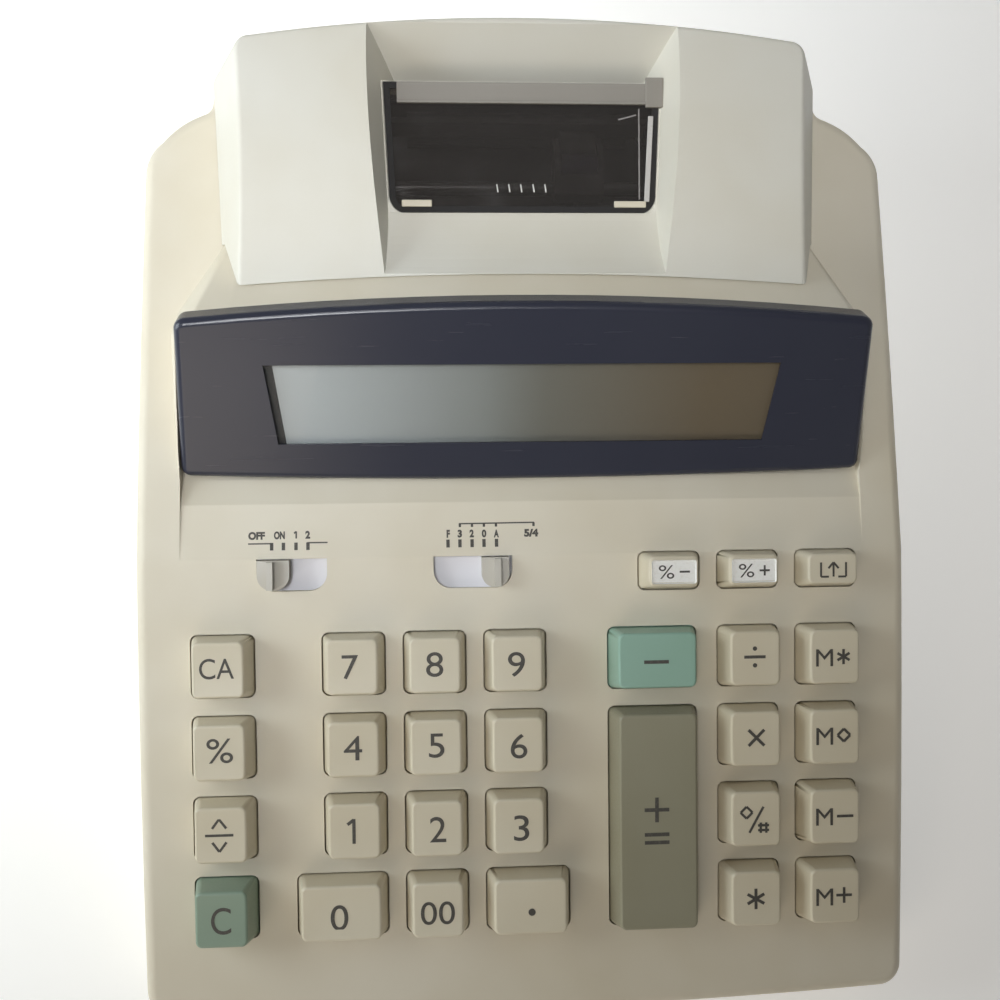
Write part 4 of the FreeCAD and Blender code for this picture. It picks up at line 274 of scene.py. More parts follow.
# %% Polished acrylic
bezel_acrylic, tree, shader = new_material("Polished_navy_acrylic", IOR=1.49)
place = add_node(tree, "ShaderNodeTexCoord", {}).outputs["Object"]
across = add_node(tree, "ShaderNodeMapping", {"Rotation": (0, 0, 0.5), "Scale": (40, 900, 40)},
                  [("Vector", place)])
hairlines = add_node(tree, "ShaderNodeTexNoise", {"Scale": 1.0, "Detail": 4},
                     [("Vector", across.outputs["Vector"])])
scuffed = add_node(tree, "ShaderNodeMapRange",
                   {"From Min": 0.62, "From Max": 0.75, "To Min": 0.25, "To Max": 0.31},
                   [("Value", hairlines.outputs["Fac"])])
cloud = add_node(tree, "ShaderNodeTexNoise", {"Scale": 25, "Detail": 2}, [("Vector", place)])
tint = add_node(tree, "ShaderNodeMix", {"data_type": "RGBA", 6: linear("2D2F3D"), 7: linear("353743")},
                [(0, cloud.outputs["Fac"])])
tree.links.new(tint.outputs[2], shader.inputs["Base Color"])
tree.links.new(scuffed.outputs["Result"], shader.inputs["Roughness"])
print("Made", bezel_acrylic.name)

# %% [markdown]
# ## Windows
#
# Two windows are clear parts: a thin clear pane over the display, and a smoked one over the printer.
# Both are moulded acrylic (IOR 1.49) and nearly polished, and faint dust roughens them in patches. The
# smoked one refracts, and its smoke is a darker colour in the transmitted light, with a twentieth part of
# plain surface colour for the fine scratches that veil what is behind it. The clear pane lies
# almost on the display and bends nothing that one could see. A refracting sheet would stop the lamps'
# direct light there, as it does in any path tracer, so the pane is a thin see-through film instead: its
# alpha says how much of a faint grey gloss is laid over what is beneath.

# %% Clear and smoked acrylic


def window_acrylic(name, colour, roughness, **clearness):
    """Clear moulded acrylic with a little dust on it, in patches about 8 mm wide."""
    material, tree, shader = new_material(name, IOR=1.49, **clearness)
    shader.inputs["Base Color"].default_value = linear(colour)
    place = add_node(tree, "ShaderNodeTexCoord", {}).outputs["Object"]
    dust = add_node(tree, "ShaderNodeTexNoise", {"Scale": 120, "Detail": 5}, [("Vector", place)])
    haze = add_node(tree, "ShaderNodeMapRange",
                    {"From Min": 0.5, "From Max": 0.8, "To Min": roughness, "To Max": roughness + 0.15},
                    [("Value", dust.outputs["Fac"])])
    tree.links.new(haze.outputs["Result"], shader.inputs["Roughness"])
    return material


clear_acrylic = window_acrylic("Clear_acrylic_pane", "3A3E42", 0.03, Alpha=0.16)
smoked_acrylic = window_acrylic("Smoked_acrylic_window", "AFAAA8", 0.04, Transmission_Weight=0.95)
print("Made", clear_acrylic.name, "and", smoked_acrylic.name)

# %% [markdown]
# ## Metal
#
# The printer's shaft, contacts and screws are plain steel, and the motor can is zinc-plated. Both were
# rolled or turned, which leaves fine parallel lines, so a noise stretched along the part varies the
# roughness. Metals keep the default IOR, because their colour says all about how they reflect.

# %% Steel


def turned_metal(name, colour, roughness):
    """Rolled or turned metal with fine lines about 0.3 mm apart."""
    material, tree, shader = new_material(name, Metallic=1.0)
    place = add_node(tree, "ShaderNodeTexCoord", {}).outputs["Object"]
    along = add_node(tree, "ShaderNodeMapping", {"Scale": (3300, 60, 3300)}, [("Vector", place)])
    lines = add_node(tree, "ShaderNodeTexNoise", {"Scale": 1.0, "Detail": 2},
                     [("Vector", along.outputs["Vector"])])
    sheen = add_node(tree, "ShaderNodeMapRange", {"To Min": roughness - 0.08, "To Max": roughness + 0.1},
                     [("Value", lines.outputs["Fac"])])
    tint = add_node(tree, "ShaderNodeMix",
                    {"data_type": "RGBA", 6: linear(colour), 7: linear("8C8E90")},
                    [(0, lines.outputs["Fac"])])
    tree.links.new(tint.outputs[2], shader.inputs["Base Color"])
    tree.links.new(sheen.outputs["Result"], shader.inputs["Roughness"])
    return material


steel = turned_metal("Turned_steel", "A6A8AA", 0.32)
motor_steel = turned_metal("Zinc_plated_motor_can", "8E9194", 0.4)
oiled_steel = turned_metal("Oiled_dark_steel", "3C3E40", 0.35)
print("Made", steel.name, motor_steel.name, "and", oiled_steel.name)

# %% [markdown]
# ## The blank display
#
# A switched-off liquid crystal display is a sandwich of glass and polariser film over a dull metal
# reflector. Its colour has a painted reflection in it: pale and bluish at the left end, for the daylight
# that the glass would mirror there, and brown at the right, for the room that it would mirror there.
# Towards the middle the film's own greenish grey shows. Two gradients across the display mix the three
# colours one after the other, and a fine noise gives the grain of the reflector, about 0.2 mm, that
# shows through the film.

# %% Liquid crystal glass
lcd_glass, tree, shader = new_material("Lcd_polariser_painted_reflection", IOR=1.5, Roughness=0.25)
place = add_node(tree, "ShaderNodeTexCoord", {}).outputs["Object"]
x_share = add_node(tree, "ShaderNodeSeparateXYZ", {}, [("Vector", place)])
# Painted reflection: these two gradients across the display make it pale and bluish at the left and brown
# at the right
painted_reflection_fade = add_node(tree, "ShaderNodeMapRange", {"From Min": -0.064, "From Max": 0.005},
                  [("Value", x_share.outputs["X"])])
tone_shift = add_node(tree, "ShaderNodeMapRange", {"From Min": -0.01, "From Max": 0.045},
                  [("Value", x_share.outputs["X"])])
pale = add_node(tree, "ShaderNodeMix", {"data_type": "RGBA", 6: linear("F0F8FA"), 7: linear("96988F")},
                [(0, painted_reflection_fade.outputs["Result"])])
film = add_node(tree, "ShaderNodeMix", {"data_type": "RGBA", 7: linear("8A7A60")},
                [(0, tone_shift.outputs["Result"]), (6, pale.outputs[2])])
grain = add_node(tree, "ShaderNodeTexNoise", {"Scale": 4500, "Detail": 1}, [("Vector", place)])
speckle = add_node(tree, "ShaderNodeBump", {"Strength": 0.1, "Distance": 0.004 * MM},
                   [("Height", grain.outputs["Fac"])])
tree.links.new(film.outputs[2], shader.inputs["Base Color"])
tree.links.new(speckle.outputs["Normal"], shader.inputs["Normal"])
print("Made", lcd_glass.name)

# %% [markdown]
# ## Dressing the engineering parts
#
# The engineering model arrives as loose triangles with flat shading, so round edges show their facets.
# Each part gets a welded copy, smoothed up to an angle so that true corners stay crisp, which stands in
# for the original. On flat parts the thin triangles that a drawing program leaves are dissolved first,
# and each corner takes the direction of its largest face, which keeps the flats flat. The cover and the
# display surround are bowed all over: there every small triangle counts, and only the gentlest bends,
# those of the bow itself, are smoothed.

# %% The finish and body of every part
finish_of_slot = {
    "case_plastic": case_abs, "cover_plastic": cover_abs, "key_plastic": key_abs,
    "clear_key_plastic": clear_key_abs, "minus_key_plastic": minus_key_abs,
    "plus_key_plastic": plus_key_abs, "bezel_plastic": bezel_acrylic, "clear_window": clear_acrylic,
    "smoked_window": smoked_acrylic, "lcd_glass": lcd_glass, "white_plastic": white_abs,
    "dark_plastic": black_abs, "silicone": silicone, "circuit_board": board, "steel": steel,
    "motor_steel": motor_steel, "foot_rubber": rubber, "roller_rubber": roller, "ink_felt": felt,
    "cell_wrap": sleeve,
}
slot_of = {part["node"]: part["material_slot"] for part in frame["record"]["subparts"]}
body_of = {node: body for body, members in frame["record"]["behaviour"]["bodies"].items()
           for node in members}
for node, thing in nodes.items():
    thing.data.materials.clear()
    thing.data.materials.append(finish_of_slot[slot_of[node]])


def carry(piece, body, material):
    """Give a finished piece its material and the body that it moves with."""
    piece.data.materials.clear()
    piece.data.materials.append(material)
    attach(piece, body)
    return piece


print(len(finish_of_slot), "finishes for", len(slot_of), "parts")

# %% Smooth copies of the parts
# The angle in degrees under which faces are joined, the angle over which an edge stays crisp, and how
# much the largest face counts at a corner
BOWED_PARTS = ("printer_cover", "display_bezel")
BOWED_SHADING = (0.02, 6, 50)
PLAIN_SHADING = (0.4, 32, 100)


def smooth_copy(node):
    """A welded, smoothly shaded copy of an engineering part, which stands in for it."""
    flat, corner, weight = BOWED_SHADING if node in BOWED_PARTS else PLAIN_SHADING
    piece = bpy.data.objects.new(node + "_smooth", nodes[node].data.copy())
    bpy.context.scene.collection.objects.link(piece)
    bpy.ops.object.select_all(action="DESELECT")
    piece.select_set(True)
    bpy.context.view_layer.objects.active = piece
    bpy.ops.object.mode_set(mode="EDIT")
    bpy.ops.mesh.select_all(action="SELECT")
    bpy.ops.mesh.remove_doubles(threshold=0.002 * MM)
    bpy.ops.mesh.dissolve_limited(angle_limit=math.radians(flat))
    bpy.ops.object.mode_set(mode="OBJECT")
    bpy.ops.object.shade_smooth_by_angle(angle=math.radians(corner))
    weighted = piece.modifiers.new("weighted", "WEIGHTED_NORMAL")
    weighted.keep_sharp = True
    weighted.weight = weight
    bpy.ops.object.modifier_apply(modifier=weighted.name)
    carry(piece, body_of[node], finish_of_slot[slot_of[node]])
    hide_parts(node)
    return piece


smooth = {node: smooth_copy(node) for node in sorted(nodes)}
smooth["carriage_shaft"].data.materials[0] = oiled_steel
print("Smoothed", len(smooth), "parts with",
      sum(len(piece.data.polygons) for piece in smooth.values()), "faces")

# %% [markdown]
# ## Two colours on the slide switches
#
# Under the case each knob has a flat slider that closes its slot. It is as white as the strip beneath it,
# while the knob above it is grey beige. The real ones are moulded in two shots, white first. Knob and
# slider are one part here as well, so the part carries both plastics, and each face takes one of them by
# its height above the panel: the slider's faces all lie deeper than two millimetres.

# %% White sliders, grey knobs
SLIDER_TOP = -2.0
panel_up = (on_panel(0, 0, 1) - on_panel(0, 0, 0)) / MM
for node in ("power_switch_knob", "decimal_switch_knob"):
    knob = smooth[node].data
    knob.materials[0] = knob_abs
    knob.materials.append(backing_film)
    for face in knob.polygons:
        height = (face.center - on_panel(0, 0, 0)).dot(panel_up)
        face.material_index = 1 if height < SLIDER_TOP * MM else 0
    print(node, "has", sum(face.material_index for face in knob.polygons), "white faces")
smooth["switch_backing"].data.materials[0] = backing_film

# %% [markdown]
# ## Legends on the keys
#
# The legends are pad-printed: a silicone pad picks ink out of an etched plate and presses it on the
# finished key, leaving a film of dark grey ink that is a little duller than the plastic. Letters could
# be painted into the key's material, but a real film catches the light at its edge and survives export
# as geometry, so each legend is a thin mesh. Digits and letters start as text objects, scaled to the
# size of the printed ones, and signs are drawn as pen strokes, because their line is more even than a
# font's. The ink film stands a tenth of a millimetre proud of the middle of the key's hollow top, just
# enough to clear the hollow's rising ends.

# %% Ink and paper
INK_TOP = 0.1
INK_DEPTH = 0.15


def printed_film(name, colour, worn_colour, roughness):
    """A thin film of ink or paper, mottled by handling in spots of about 0.7 mm."""
    material, tree, shader = new_material(name, Roughness=roughness)
    place = add_node(tree, "ShaderNodeTexCoord", {}).outputs["Object"]
    mottle = add_node(tree, "ShaderNodeTexNoise", {"Scale": 1500, "Detail": 3}, [("Vector", place)])
    worn = add_node(tree, "ShaderNodeMapRange", {"From Min": 0.5, "From Max": 0.75},
                    [("Value", mottle.outputs["Fac"])])
    tint = add_node(tree, "ShaderNodeMix",
                    {"data_type": "RGBA", 6: linear(colour), 7: linear(worn_colour)},
                    [(0, worn.outputs["Result"])])
    tree.links.new(tint.outputs[2], shader.inputs["Base Color"])
    return material


ink = printed_film("Pad_printed_grey_ink", "47443F", "5B574F", 0.55)
label_paper = printed_film("Coated_white_label", "F1F0EC", "E8E6DF", 0.35)
print("Made", ink.name, "for films", INK_DEPTH, "mm deep and", INK_TOP, "mm proud")

# %% Films from letters


def weld(piece):
    """Join the loose edges of a mesh and point its faces outwards."""
    bpy.ops.object.select_all(action="DESELECT")
    piece.select_set(True)
    bpy.context.view_layer.objects.active = piece
    bpy.ops.object.mode_set(mode="EDIT")
    bpy.ops.mesh.select_all(action="SELECT")
    bpy.ops.mesh.remove_doubles(threshold=0.001 * MM)
    bpy.ops.mesh.normals_make_consistent(inside=False)
    bpy.ops.object.mode_set(mode="OBJECT")


def lay_down(piece, place, tilt, size=None):
    """Scale a flat print to a size in millimetres and lay it down, centred on a place."""
    corners = [Vector(corner) for corner in piece.bound_box]
    low = Vector([min(corner[axis] for corner in corners) for axis in range(3)])
    high = Vector([max(corner[axis] for corner in corners) for axis in range(3)])
    grow = Matrix.Identity(4)
    if size:
        grow = Matrix.Diagonal((size[0] * MM / (high.x - low.x), size[1] * MM / (high.y - low.y), 1, 1))
        grow = grow @ Matrix.Translation(-(low + high) / 2)
    piece.data.transform(Matrix.Translation(place) @ Matrix.Rotation(tilt, 4, "X") @ grow)


def printed_text(name, text, place, tilt, size, depth=INK_DEPTH, fatten=0.0):
    """A word or digit as a thin film of ink, its strokes fattened by a share of the letters' height."""
    bpy.ops.object.select_all(action="DESELECT")
    bpy.ops.object.text_add()
    piece = bpy.context.object
    piece.name = name
    piece.data.body = text
    piece.data.resolution_u = 8
    piece.data.offset = fatten
    piece.data.extrude = depth / 2 * MM
    bpy.ops.object.convert(target="MESH")
    weld(piece)
    lay_down(piece, place, tilt, size)
    return piece


print("Words are set in Blender's own font and scaled to the printed size")

# %% Films from pen strokes and dots


def join_and_lay(name, parts, place, tilt):
    """Make one piece of several strokes or dots and lay it down."""
    for part in parts:
        part.select_set(True)
    bpy.context.view_layer.objects.active = parts[0]
    bpy.ops.object.join()
    piece = bpy.context.object
    piece.name = name
    lay_down(piece, place, tilt)
    return piece


def pen_strokes(name, strokes, pen, place, tilt, depth=INK_DEPTH):
    """Straight strokes (x0, y0, x1, y1) of one pen, in millimetres about the middle of the sign."""
    parts = []
    for index, (x0, y0, x1, y1) in enumerate(strokes):
        bpy.ops.object.select_all(action="DESELECT")
        bpy.ops.mesh.primitive_cube_add(size=1)
        bar = bpy.context.object
        length = max(math.hypot(x1 - x0, y1 - y0), pen)
        # Each stroke is a hair thicker than the last, so that crossing faces never lie in one plane
        size = Matrix.Diagonal((length * MM, pen * MM, (depth + 0.004 * index) * MM, 1))
        turn = Matrix.Rotation(math.atan2(y1 - y0, x1 - x0), 4, "Z")
        middle = Matrix.Translation(Vector(((x0 + x1) / 2, (y0 + y1) / 2, 0)) * MM)
        bar.data.transform(middle @ turn @ size)
        parts.append(bar)
    return join_and_lay(name, parts, place, tilt)


def dots(name, centres, diameter, place, tilt):
    """Round dots at places in millimetres about the middle of the sign."""
    parts = []
    for x, y in centres:
        bpy.ops.object.select_all(action="DESELECT")
        bpy.ops.mesh.primitive_cylinder_add(vertices=32, radius=diameter / 2 * MM, depth=INK_DEPTH * MM)
        dot = bpy.context.object
        dot.data.transform(Matrix.Translation(Vector((x, y, 0)) * MM) @ dot.matrix_world)
        parts.append(dot)
    return join_and_lay(name, parts, place, tilt)


middle_of_ink = INK_TOP - INK_DEPTH / 2
print("The middle of the ink lies", round(middle_of_ink, 3), "mm above the key")

# %% Digits and letters
KEY_TOP = 7.4
CLEAR_KEY_TOP = 8.9
SMALL_KEY_TOP = 6.1
LEGENDS = [
    ("key_ca", "CA", -76.5, -7.3, 8.3, 5.0), ("key_percent", "%", -76.1, -27.3, 6.3, 6.0),
    ("key_7", "7", -44.4, -7.6, 4.0, 5.9), ("key_8", "8", -23.8, -7.4, 4.2, 6.1),
    ("key_9", "9", -3.7, -7.8, 4.2, 6.1), ("key_4", "4", -44.0, -27.5, 4.5, 6.0),
    ("key_5", "5", -23.6, -27.4, 3.8, 6.0), ("key_6", "6", -3.3, -28.1, 4.1, 6.1),
    ("key_2", "2", -23.5, -48.2, 4.0, 6.3),
    ("key_3", "3", -2.9, -48.5, 3.8, 6.4), ("key_0", "0", -47.9, -69.3, 4.3, 6.3),
    ("key_00", "00", -23.8, -69.0, 8.4, 5.7), ("key_memory_total", "M", 73.6, -7.9, 4.3, 4.3),
    ("key_memory_subtotal", "M", 73.6, -27.7, 4.3, 4.3),
    ("key_memory_minus", "M", 73.5, -48.1, 4.3, 4.3), ("key_memory_plus", "M", 73.5, -68.5, 4.3, 4.3),
]
for node, text, x, v, width, height in LEGENDS:
    letters = printed_text(node + "_legend", text, on_panel(x, v, KEY_TOP + middle_of_ink), PANEL_TILT,
                           (width, height))
    carry(letters, body_of[node], ink)
clear_legend = printed_text("key_c_legend", "C", on_panel(-76.3, -68.5, CLEAR_KEY_TOP + middle_of_ink),
                            PANEL_TILT, (4.8, 6.6))
carry(clear_legend, body_of["key_c"], ink)
print("Printed", len(LEGENDS) + 1, "legends in letters")

# %% Signs drawn with a pen
PEN = 0.75


def star(radius):
    """Three strokes that cross, one of them upright."""
    arms = []
    for angle in (90, 30, -30):
        reach = radius if angle == 90 else 0.94 * radius
        x, y = reach * math.cos(math.radians(angle)), reach * math.sin(math.radians(angle))
        arms.append((-x, -y, x, y))
    return arms


def diamond(half, x=0.0, y=0.0):
    """A square on its corner, drawn as four strokes."""
    tips = [(x, y + half), (x + half, y), (x, y - half), (x - half, y)]
    return [(*tips[i], *tips[(i + 1) % 4]) for i in range(4)]


ONE = [(0.35, -3.05, 0.35, 3.05), (0.35, 2.85, -1.2, 1.7)]
CROSS = [(-2.0, -2.0, 2.0, 2.0), (-2.0, 2.0, 2.0, -2.0)]
HASH = [(1.2, -3.3, 1.2, -0.7), (2.6, -3.3, 2.6, -0.7), (0.5, -1.4, 3.3, -1.4), (0.5, -2.6, 3.3, -2.6)]
SIGNS = [
    ("key_1", ONE, -44.4, -48.0, 0.8),
    ("key_minus", [(-3.1, 0, 3.1, 0)], 31.1, -8.0, 0.85),
    ("key_plus_equals", [(-3.1, 7.2, 3.1, 7.2), (0, 4.1, 0, 10.3), (-3.1, 1.0, 3.1, 1.0),
                         (-3.1, -1.0, 3.1, -1.0)], 30.95, -52.2, 0.9),
    ("key_divide", [(-2.7, 0, 2.7, 0)], 55.9, -7.3, PEN),
    ("key_times", CROSS, 56.2, -27.6, PEN),
    ("key_subtotal", diamond(1.5, -2.4, 1.9) + [(-1.7, -3.2, 1.9, 3.3)] + HASH, 56.0, -48.3, 0.6),
    ("key_total", star(2.6), 55.9, -68.3, PEN),
    ("key_memory_total", star(1.9), 78.45, -7.7, 0.65),
    ("key_memory_subtotal", diamond(1.6), 78.5, -27.5, 0.65),
    ("key_memory_minus", [(-2.1, 0, 2.1, 0)], 78.8, -48.0, 0.65),
    ("key_memory_plus", [(-2.0, 0, 2.0, 0), (0, -2.0, 0, 2.0)], 78.5, -68.1, 0.65),
    ("key_markup", [(-3.4, 0, 3.4, 0), (-1.7, 1.7, 0, 4.0), (0, 4.0, 1.7, 1.7), (-1.7, -1.7, 0, -4.0),
                    (0, -4.0, 1.7, -1.7)], -76.6, -48.0, 0.6),
]
for node, strokes, x, v, pen in SIGNS:
    sign = pen_strokes(node + "_sign", strokes, pen, on_panel(x, v, KEY_TOP + middle_of_ink), PANEL_TILT)
    carry(sign, body_of[node], ink)
divide_dots = dots("key_divide_dots", [(0, 2.1), (0, -2.1)], 1.1,
                   on_panel(55.9, -7.3, KEY_TOP + middle_of_ink), PANEL_TILT)
carry(divide_dots, body_of["key_divide"], ink)
point_dot = dots("key_point_dot", [(0, 0)], 1.8, on_panel(-0.5, -69.6, KEY_TOP + middle_of_ink),
                 PANEL_TILT)
carry(point_dot, body_of["key_point"], ink)
print("Drew", len(SIGNS) + 2, "signs")

# %% [markdown]
# ## Labels on the rate keys
#
# Two of the small keys carry white paper labels. They were die-cut with round corners and are glossy. A
# cube pressed thin and bevelled at its four upright edges has that shape, and it is printed in the same
# way as the keys.

# %% Blank paper labels
LABEL = (11.2, 5.9, 0.16)
LABEL_CORNER = 0.6
LABEL_ROW = 14.2
LABEL_MIDDLE = SMALL_KEY_TOP + 0.1


def paper_label(name, x):
    """A die-cut label on a small key's top."""
    bpy.ops.object.select_all(action="DESELECT")
    bpy.ops.mesh.primitive_cube_add(size=1)
    piece = bpy.context.object
    piece.name = name
    piece.data.transform(Matrix.Diagonal((LABEL[0] * MM, LABEL[1] * MM, LABEL[2] * MM, 1)))
    bpy.ops.object.mode_set(mode="EDIT")
    bpy.ops.mesh.select_all(action="DESELECT")
    bpy.ops.object.mode_set(mode="OBJECT")
    for edge in piece.data.edges:
        ends = [piece.data.vertices[index].co for index in edge.vertices]
        edge.select = abs(ends[0].z - ends[1].z) > LABEL[2] / 2 * MM
    bpy.ops.object.mode_set(mode="EDIT")
    bpy.ops.mesh.bevel(offset=LABEL_CORNER * MM, segments=6)
    bpy.ops.object.mode_set(mode="OBJECT")
    lay_down(piece, on_panel(x, LABEL_ROW, LABEL_MIDDLE), PANEL_TILT)
    return piece


print("A label is", LABEL[0], "by", LABEL[1], "mm")

# %% Small legends
LABEL_INK = SMALL_KEY_TOP + 0.16
LABEL_INK_DEPTH = 0.1
SMALL_PEN = 0.5
for node, x, sign in (("key_rate_minus", 35.9, [(1.4, 0, 4.0, 0)]),
                      ("key_rate_plus", 56.1, [(1.4, 0, 4.0, 0), (2.7, -1.3, 2.7, 1.3)])):
    carry(paper_label(node + "_label", x), body_of[node], label_paper)
    percent = printed_text(node + "_legend", "%", on_panel(x - 1.9, LABEL_ROW, LABEL_INK), PANEL_TILT,
                           (3.9, 3.4), LABEL_INK_DEPTH)
    carry(percent, body_of[node], ink)
    strokes = pen_strokes(node + "_sign", sign, SMALL_PEN, on_panel(x, LABEL_ROW, LABEL_INK), PANEL_TILT,
                          LABEL_INK_DEPTH)
    carry(strokes, body_of[node], ink)
FEED_ARROW = [(0, -1.8, 0, 1.5), (-1.3, 0.3, 0, 1.8), (0, 1.8, 1.3, 0.3), (-3.2, -1.8, -1.2, -1.8),
              (1.2, -1.8, 3.2, -1.8), (-3.2, -1.8, -3.2, 1.8), (3.2, -1.8, 3.2, 1.8)]
arrow = pen_strokes("key_feed_sign", FEED_ARROW, SMALL_PEN,
                    on_panel(76.4, 14.1, SMALL_KEY_TOP + middle_of_ink), PANEL_TILT)
carry(arrow, body_of["key_feed"], ink)
print("Laid two labels and a paper feed arrow")

# %% [markdown]
# ## Words and ticks beside the slide switches
#
# The settings of the two slide switches are printed on the level strip behind them, in a narrow capital
# face about 2 mm tall with a fat tick for each stop. They are laid flat on that strip, whose height is
# read from the case itself by a ray cast straight down.

# %% Switch prints
DOWN = Vector((0, 0, -1))
STRIP_INK = 0.06
WORD_HEIGHT = 2.0
strip = smooth["upper_case"].ray_cast(Vector((-60, -5, 200)) * MM, DOWN)[1]


def on_strip(x, y):
    """A place on the level strip behind the switches, given in millimetres."""
    return Vector((x * MM, y * MM, strip.z + 0.3 * STRIP_INK * MM))


SWITCH_WORDS = [
    ("OFF", -67.5, -2.6, 4.1), ("ON", -61.9, -2.55, 2.7),
    ("2", -54.9, -2.5, 1.2), ("F", -19.9, -2.8, 0.85), ("3", -17.0, -2.8, 1.1), ("2", -14.0, -2.8, 1.1),
    ("0", -10.9, -2.85, 1.15), ("A", -7.8, -2.9, 1.3), ("5/4", 1.0, -2.85, 3.6),
]
for index, (text, x, y, width) in enumerate(SWITCH_WORDS):
    words = printed_text("switch_word_%d" % index, text, on_strip(x, y), 0, (width, WORD_HEIGHT), STRIP_INK,
                         0.055)
    carry(words, "case", ink)
FAT_TICKS = [(x, -6.3, x, -4.4) for x in (-63.8, -60.9, -57.8, -54.85)]
FAT_TICKS += [(x, -6.25, x, -4.25) for x in (-20.0, -17.0, -13.95, -10.95, -7.8)]
SMALL_ONE = [(-57.75, -3.4, -57.75, -1.6), (-57.75, -1.65, -58.3, -2.1)]
FINE_LINES = [(-69.6, -4.6, -63.6, -4.6), (-55.0, -4.5, -50.0, -4.5), (-17.2, -0.3, 1.8, -0.2)]
SHORT_TICKS = [(x, -1.15, x, -0.2) for x in (-16.95, -13.9, -10.9, -7.85, 1.65)]
for name, strokes, pen in (("switch_ticks", FAT_TICKS, 0.85), ("switch_one", SMALL_ONE, 0.4),
                           ("switch_lines", FINE_LINES, 0.35), ("switch_short_ticks", SHORT_TICKS, 0.6)):
    carry(pen_strokes(name, strokes, pen, on_strip(0, 0), 0, STRIP_INK), "case", ink)
print("The switch strip is", round(strip.z / MM, 2), "mm above the table")

# %% [markdown]
# ## Fittings on the printer window
#
# The smoked window is bare acrylic in the engineering model. On the real one a tear bar is welded across
# its rear end, where the paper comes out, with a stop at its right end; their dull grey has the shade over
# them painted in. A pale guide rail runs down the right edge, two clips hold the front corners, and five
# white marks show the column of the print head. A black film on the window's rim is painted shade, like
# the shade along the left wall, and it hides the ledge that the window is welded to. Each fitting is a
# cube set to its size in the panel's own directions, then shaped in edit mode, and the black rim is made
# from the window's own top face by an inset, so that it follows the window exactly.

# %% Plastics and inks of the fittings
# The tear bar's dull grey has the shade over it painted in
tear_bar_painted_shade = moulded_plastic("Grey_ABS_tear_bar_painted_shade", "918C84", "87827A", 0.5)
rail_plastic = moulded_plastic("Pale_grey_guide_rail", "C9C6C3", "BDBAB6", 0.3, relief=0.006)
# The black rim film is painted shade
rim_painted_shade = printed_film("Black_rim_painted_shade", "232121", "2B2928", 0.8)
white_ink = printed_film("White_screen_ink", "DDDCD8", "B9B7B1", 0.5)
wire_grey = printed_film("Dull_grey_guide_wire", "8C8886", "7A7674", 0.5)
print("Made", tear_bar_painted_shade.name, rail_plastic.name, "and three films")

# %% Blocks with rounded edges
WINDOW_FACE = -1.9


def select_faces(piece, wanted):
    """Enter edit mode on a piece with only the wanted faces selected."""
    bpy.ops.object.select_all(action="DESELECT")
    piece.select_set(True)
    bpy.context.view_layer.objects.active = piece
    bpy.context.tool_settings.mesh_select_mode = (False, False, True)
    bpy.ops.object.mode_set(mode="EDIT")
    bpy.ops.mesh.select_all(action="DESELECT")
    bpy.ops.object.mode_set(mode="OBJECT")
    for face in piece.data.polygons:
        face.select = wanted(face)
    bpy.ops.object.mode_set(mode="EDIT")


def block(name, x, v, n):
    """A cube between two places across, up and out from the panel, in millimetres."""
    bpy.ops.object.select_all(action="DESELECT")
    bpy.ops.mesh.primitive_cube_add(size=1)
    piece = bpy.context.object
    piece.name = name
    size = [(high - low) * MM for low, high in (x, v, n)]
    middle = Vector([(low + high) / 2 * MM for low, high in (x, v, n)])
    piece.data.transform(Matrix.Translation(middle) @ Matrix.Diagonal((*size, 1)))
    return piece


def round_edges(piece, radius):
    """Round every edge of a piece, leave edit mode and lay the piece on the panel."""
    select_faces(piece, lambda face: True)
    bpy.ops.mesh.bevel(offset=radius * MM, segments=3, clamp_overlap=True)
    bpy.ops.object.mode_set(mode="OBJECT")
    bpy.context.tool_settings.mesh_select_mode = (True, False, False)
    lay_down(piece, on_panel(0, 0, 0), PANEL_TILT)


print("The window's face lies", -WINDOW_FACE, "mm below the key panel")

# %% Tear bar, stop, clips and rail
TEAR_BAR = ((-31.3, 31.4), (131.3, 136.5), (WINDOW_FACE, WINDOW_FACE + 0.7))
TEAR_LIP = (0.7, 0.35)
RAIL_FOOT = (31.2, 107.2, 0)
RAIL_TURN = -0.056
tear_bar = block("tear_bar", *TEAR_BAR)
lip_end = (TEAR_BAR[1][0] + TEAR_LIP[0]) * MM
select_faces(tear_bar, lambda face: True)
bpy.ops.mesh.bisect(plane_co=(0, lip_end, 0), plane_no=(0, 1, 0))
bpy.ops.object.mode_set(mode="OBJECT")
select_faces(tear_bar, lambda face: face.normal.z > 0.9 and face.center.y < lip_end)
bpy.ops.mesh.extrude_region_move(TRANSFORM_OT_translate={"value": (0, 0, TEAR_LIP[1] * MM)})
bpy.ops.object.mode_set(mode="OBJECT")
round_edges(tear_bar, 0.12)
carry(tear_bar, "cover", tear_bar_painted_shade)
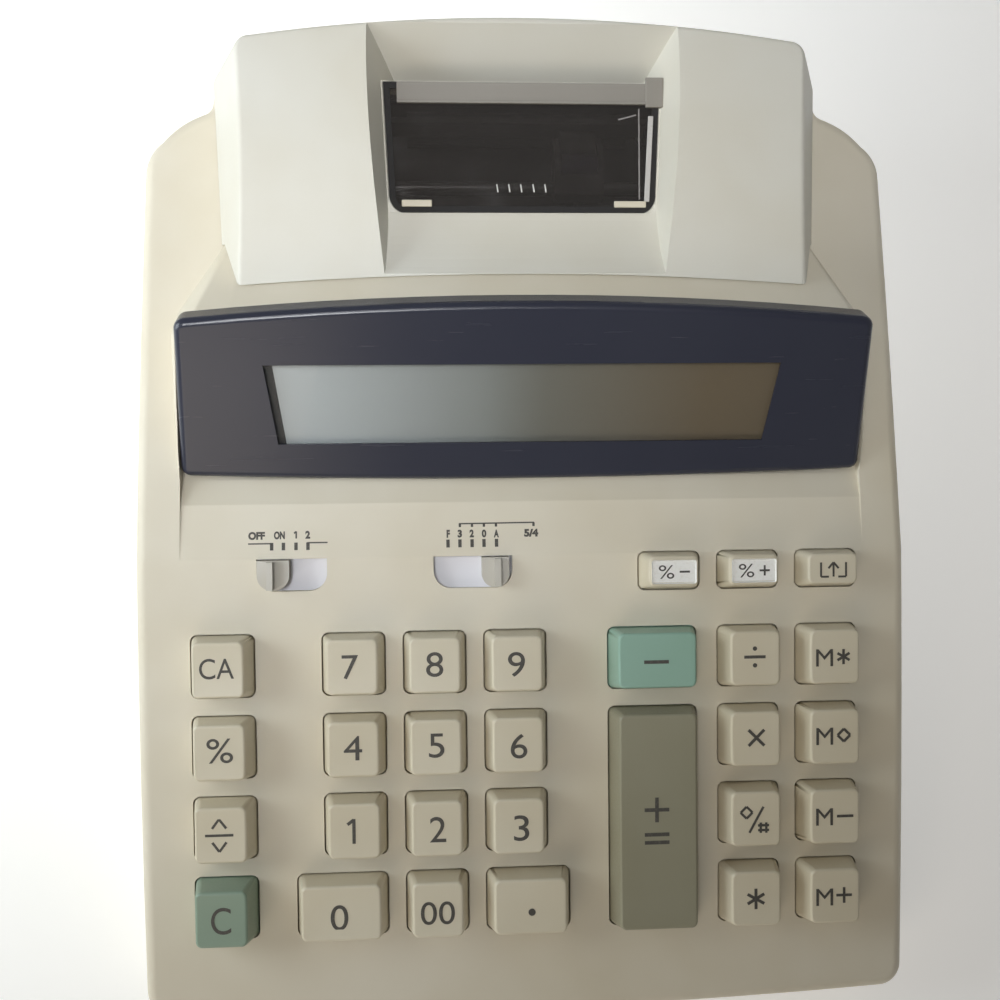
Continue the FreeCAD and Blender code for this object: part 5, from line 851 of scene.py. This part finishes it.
for name, x, v, height, finish in (
        ("tear_bar_stop", (31.0, 35.5), (130.6, 138.0), 1.1, tear_bar_painted_shade),
        ("left_window_clip", (-30.4, -22.9), (105.8, 107.5), 0.6, case_abs),
        ("right_window_clip", (22.9, 31.0), (105.7, 107.3), 0.6, case_abs)):
    fitting = block(name, x, v, (WINDOW_FACE, WINDOW_FACE + height))
    round_edges(fitting, 0.25)
    carry(fitting, "cover", finish)
guide_rail = block("window_guide_rail", (-0.65, 0.65), (0, 21.4), (WINDOW_FACE, WINDOW_FACE + 0.5))
guide_rail.data.transform(Matrix.Translation(Vector(RAIL_FOOT) * MM) @ Matrix.Rotation(RAIL_TURN, 4, "Z"))
round_edges(guide_rail, 0.15)
carry(guide_rail, "cover", rail_plastic)
print("The tear bar is", round(TEAR_BAR[0][1] - TEAR_BAR[0][0], 1), "mm long")

# %% The black rim, painted shade
RIM_WIDTH = 1.5
# A black film over the window's rim: painted shade, which also hides the ledge beneath it
rim = bpy.data.objects.new("window_rim_painted_shade", smooth["cover_window"].data.copy())
bpy.context.scene.collection.objects.link(rim)
select_faces(rim, lambda face: face.normal.dot(panel_up) < 0.99)
bpy.ops.mesh.delete(type="FACE")
bpy.ops.mesh.select_all(action="SELECT")
bpy.ops.mesh.dissolve_limited(angle_limit=math.radians(1))
bpy.ops.mesh.inset(thickness=RIM_WIDTH * MM, use_boundary=True)
bpy.ops.mesh.delete(type="FACE")
bpy.ops.object.mode_set(mode="OBJECT")
bpy.context.tool_settings.mesh_select_mode = (True, False, False)
sheet = rim.modifiers.new("film", "SOLIDIFY")
sheet.thickness = STRIP_INK * MM
sheet.offset = 1
bpy.ops.object.modifier_apply(modifier=sheet.name)
carry(rim, "cover", rim_painted_shade)
print("The printed rim has", len(rim.data.polygons), "faces")

# %% Print head marks and the guide wire
HEAD_MARKS = [(x + 0.15, 109.5, x - 0.15, 111.5) for x in (-6.5, -3.5, -0.5, 2.6, 5.6)]
GUIDE_LINE = [(29.4, 107.8, 29.4, 130.4), (24.2, 127.7, 28.7, 128.9)]
for name, strokes, pen, film in (("print_head_marks", HEAD_MARKS, 0.3, white_ink),
                                 ("window_guide_wire", GUIDE_LINE, 0.35, wire_grey)):
    marks = pen_strokes(name, strokes, pen, on_panel(0, 0, WINDOW_FACE + 0.3 * STRIP_INK), PANEL_TILT,
                        STRIP_INK)
    carry(marks, "cover", film)
print("Drew", len(HEAD_MARKS), "white marks and the guide wire")
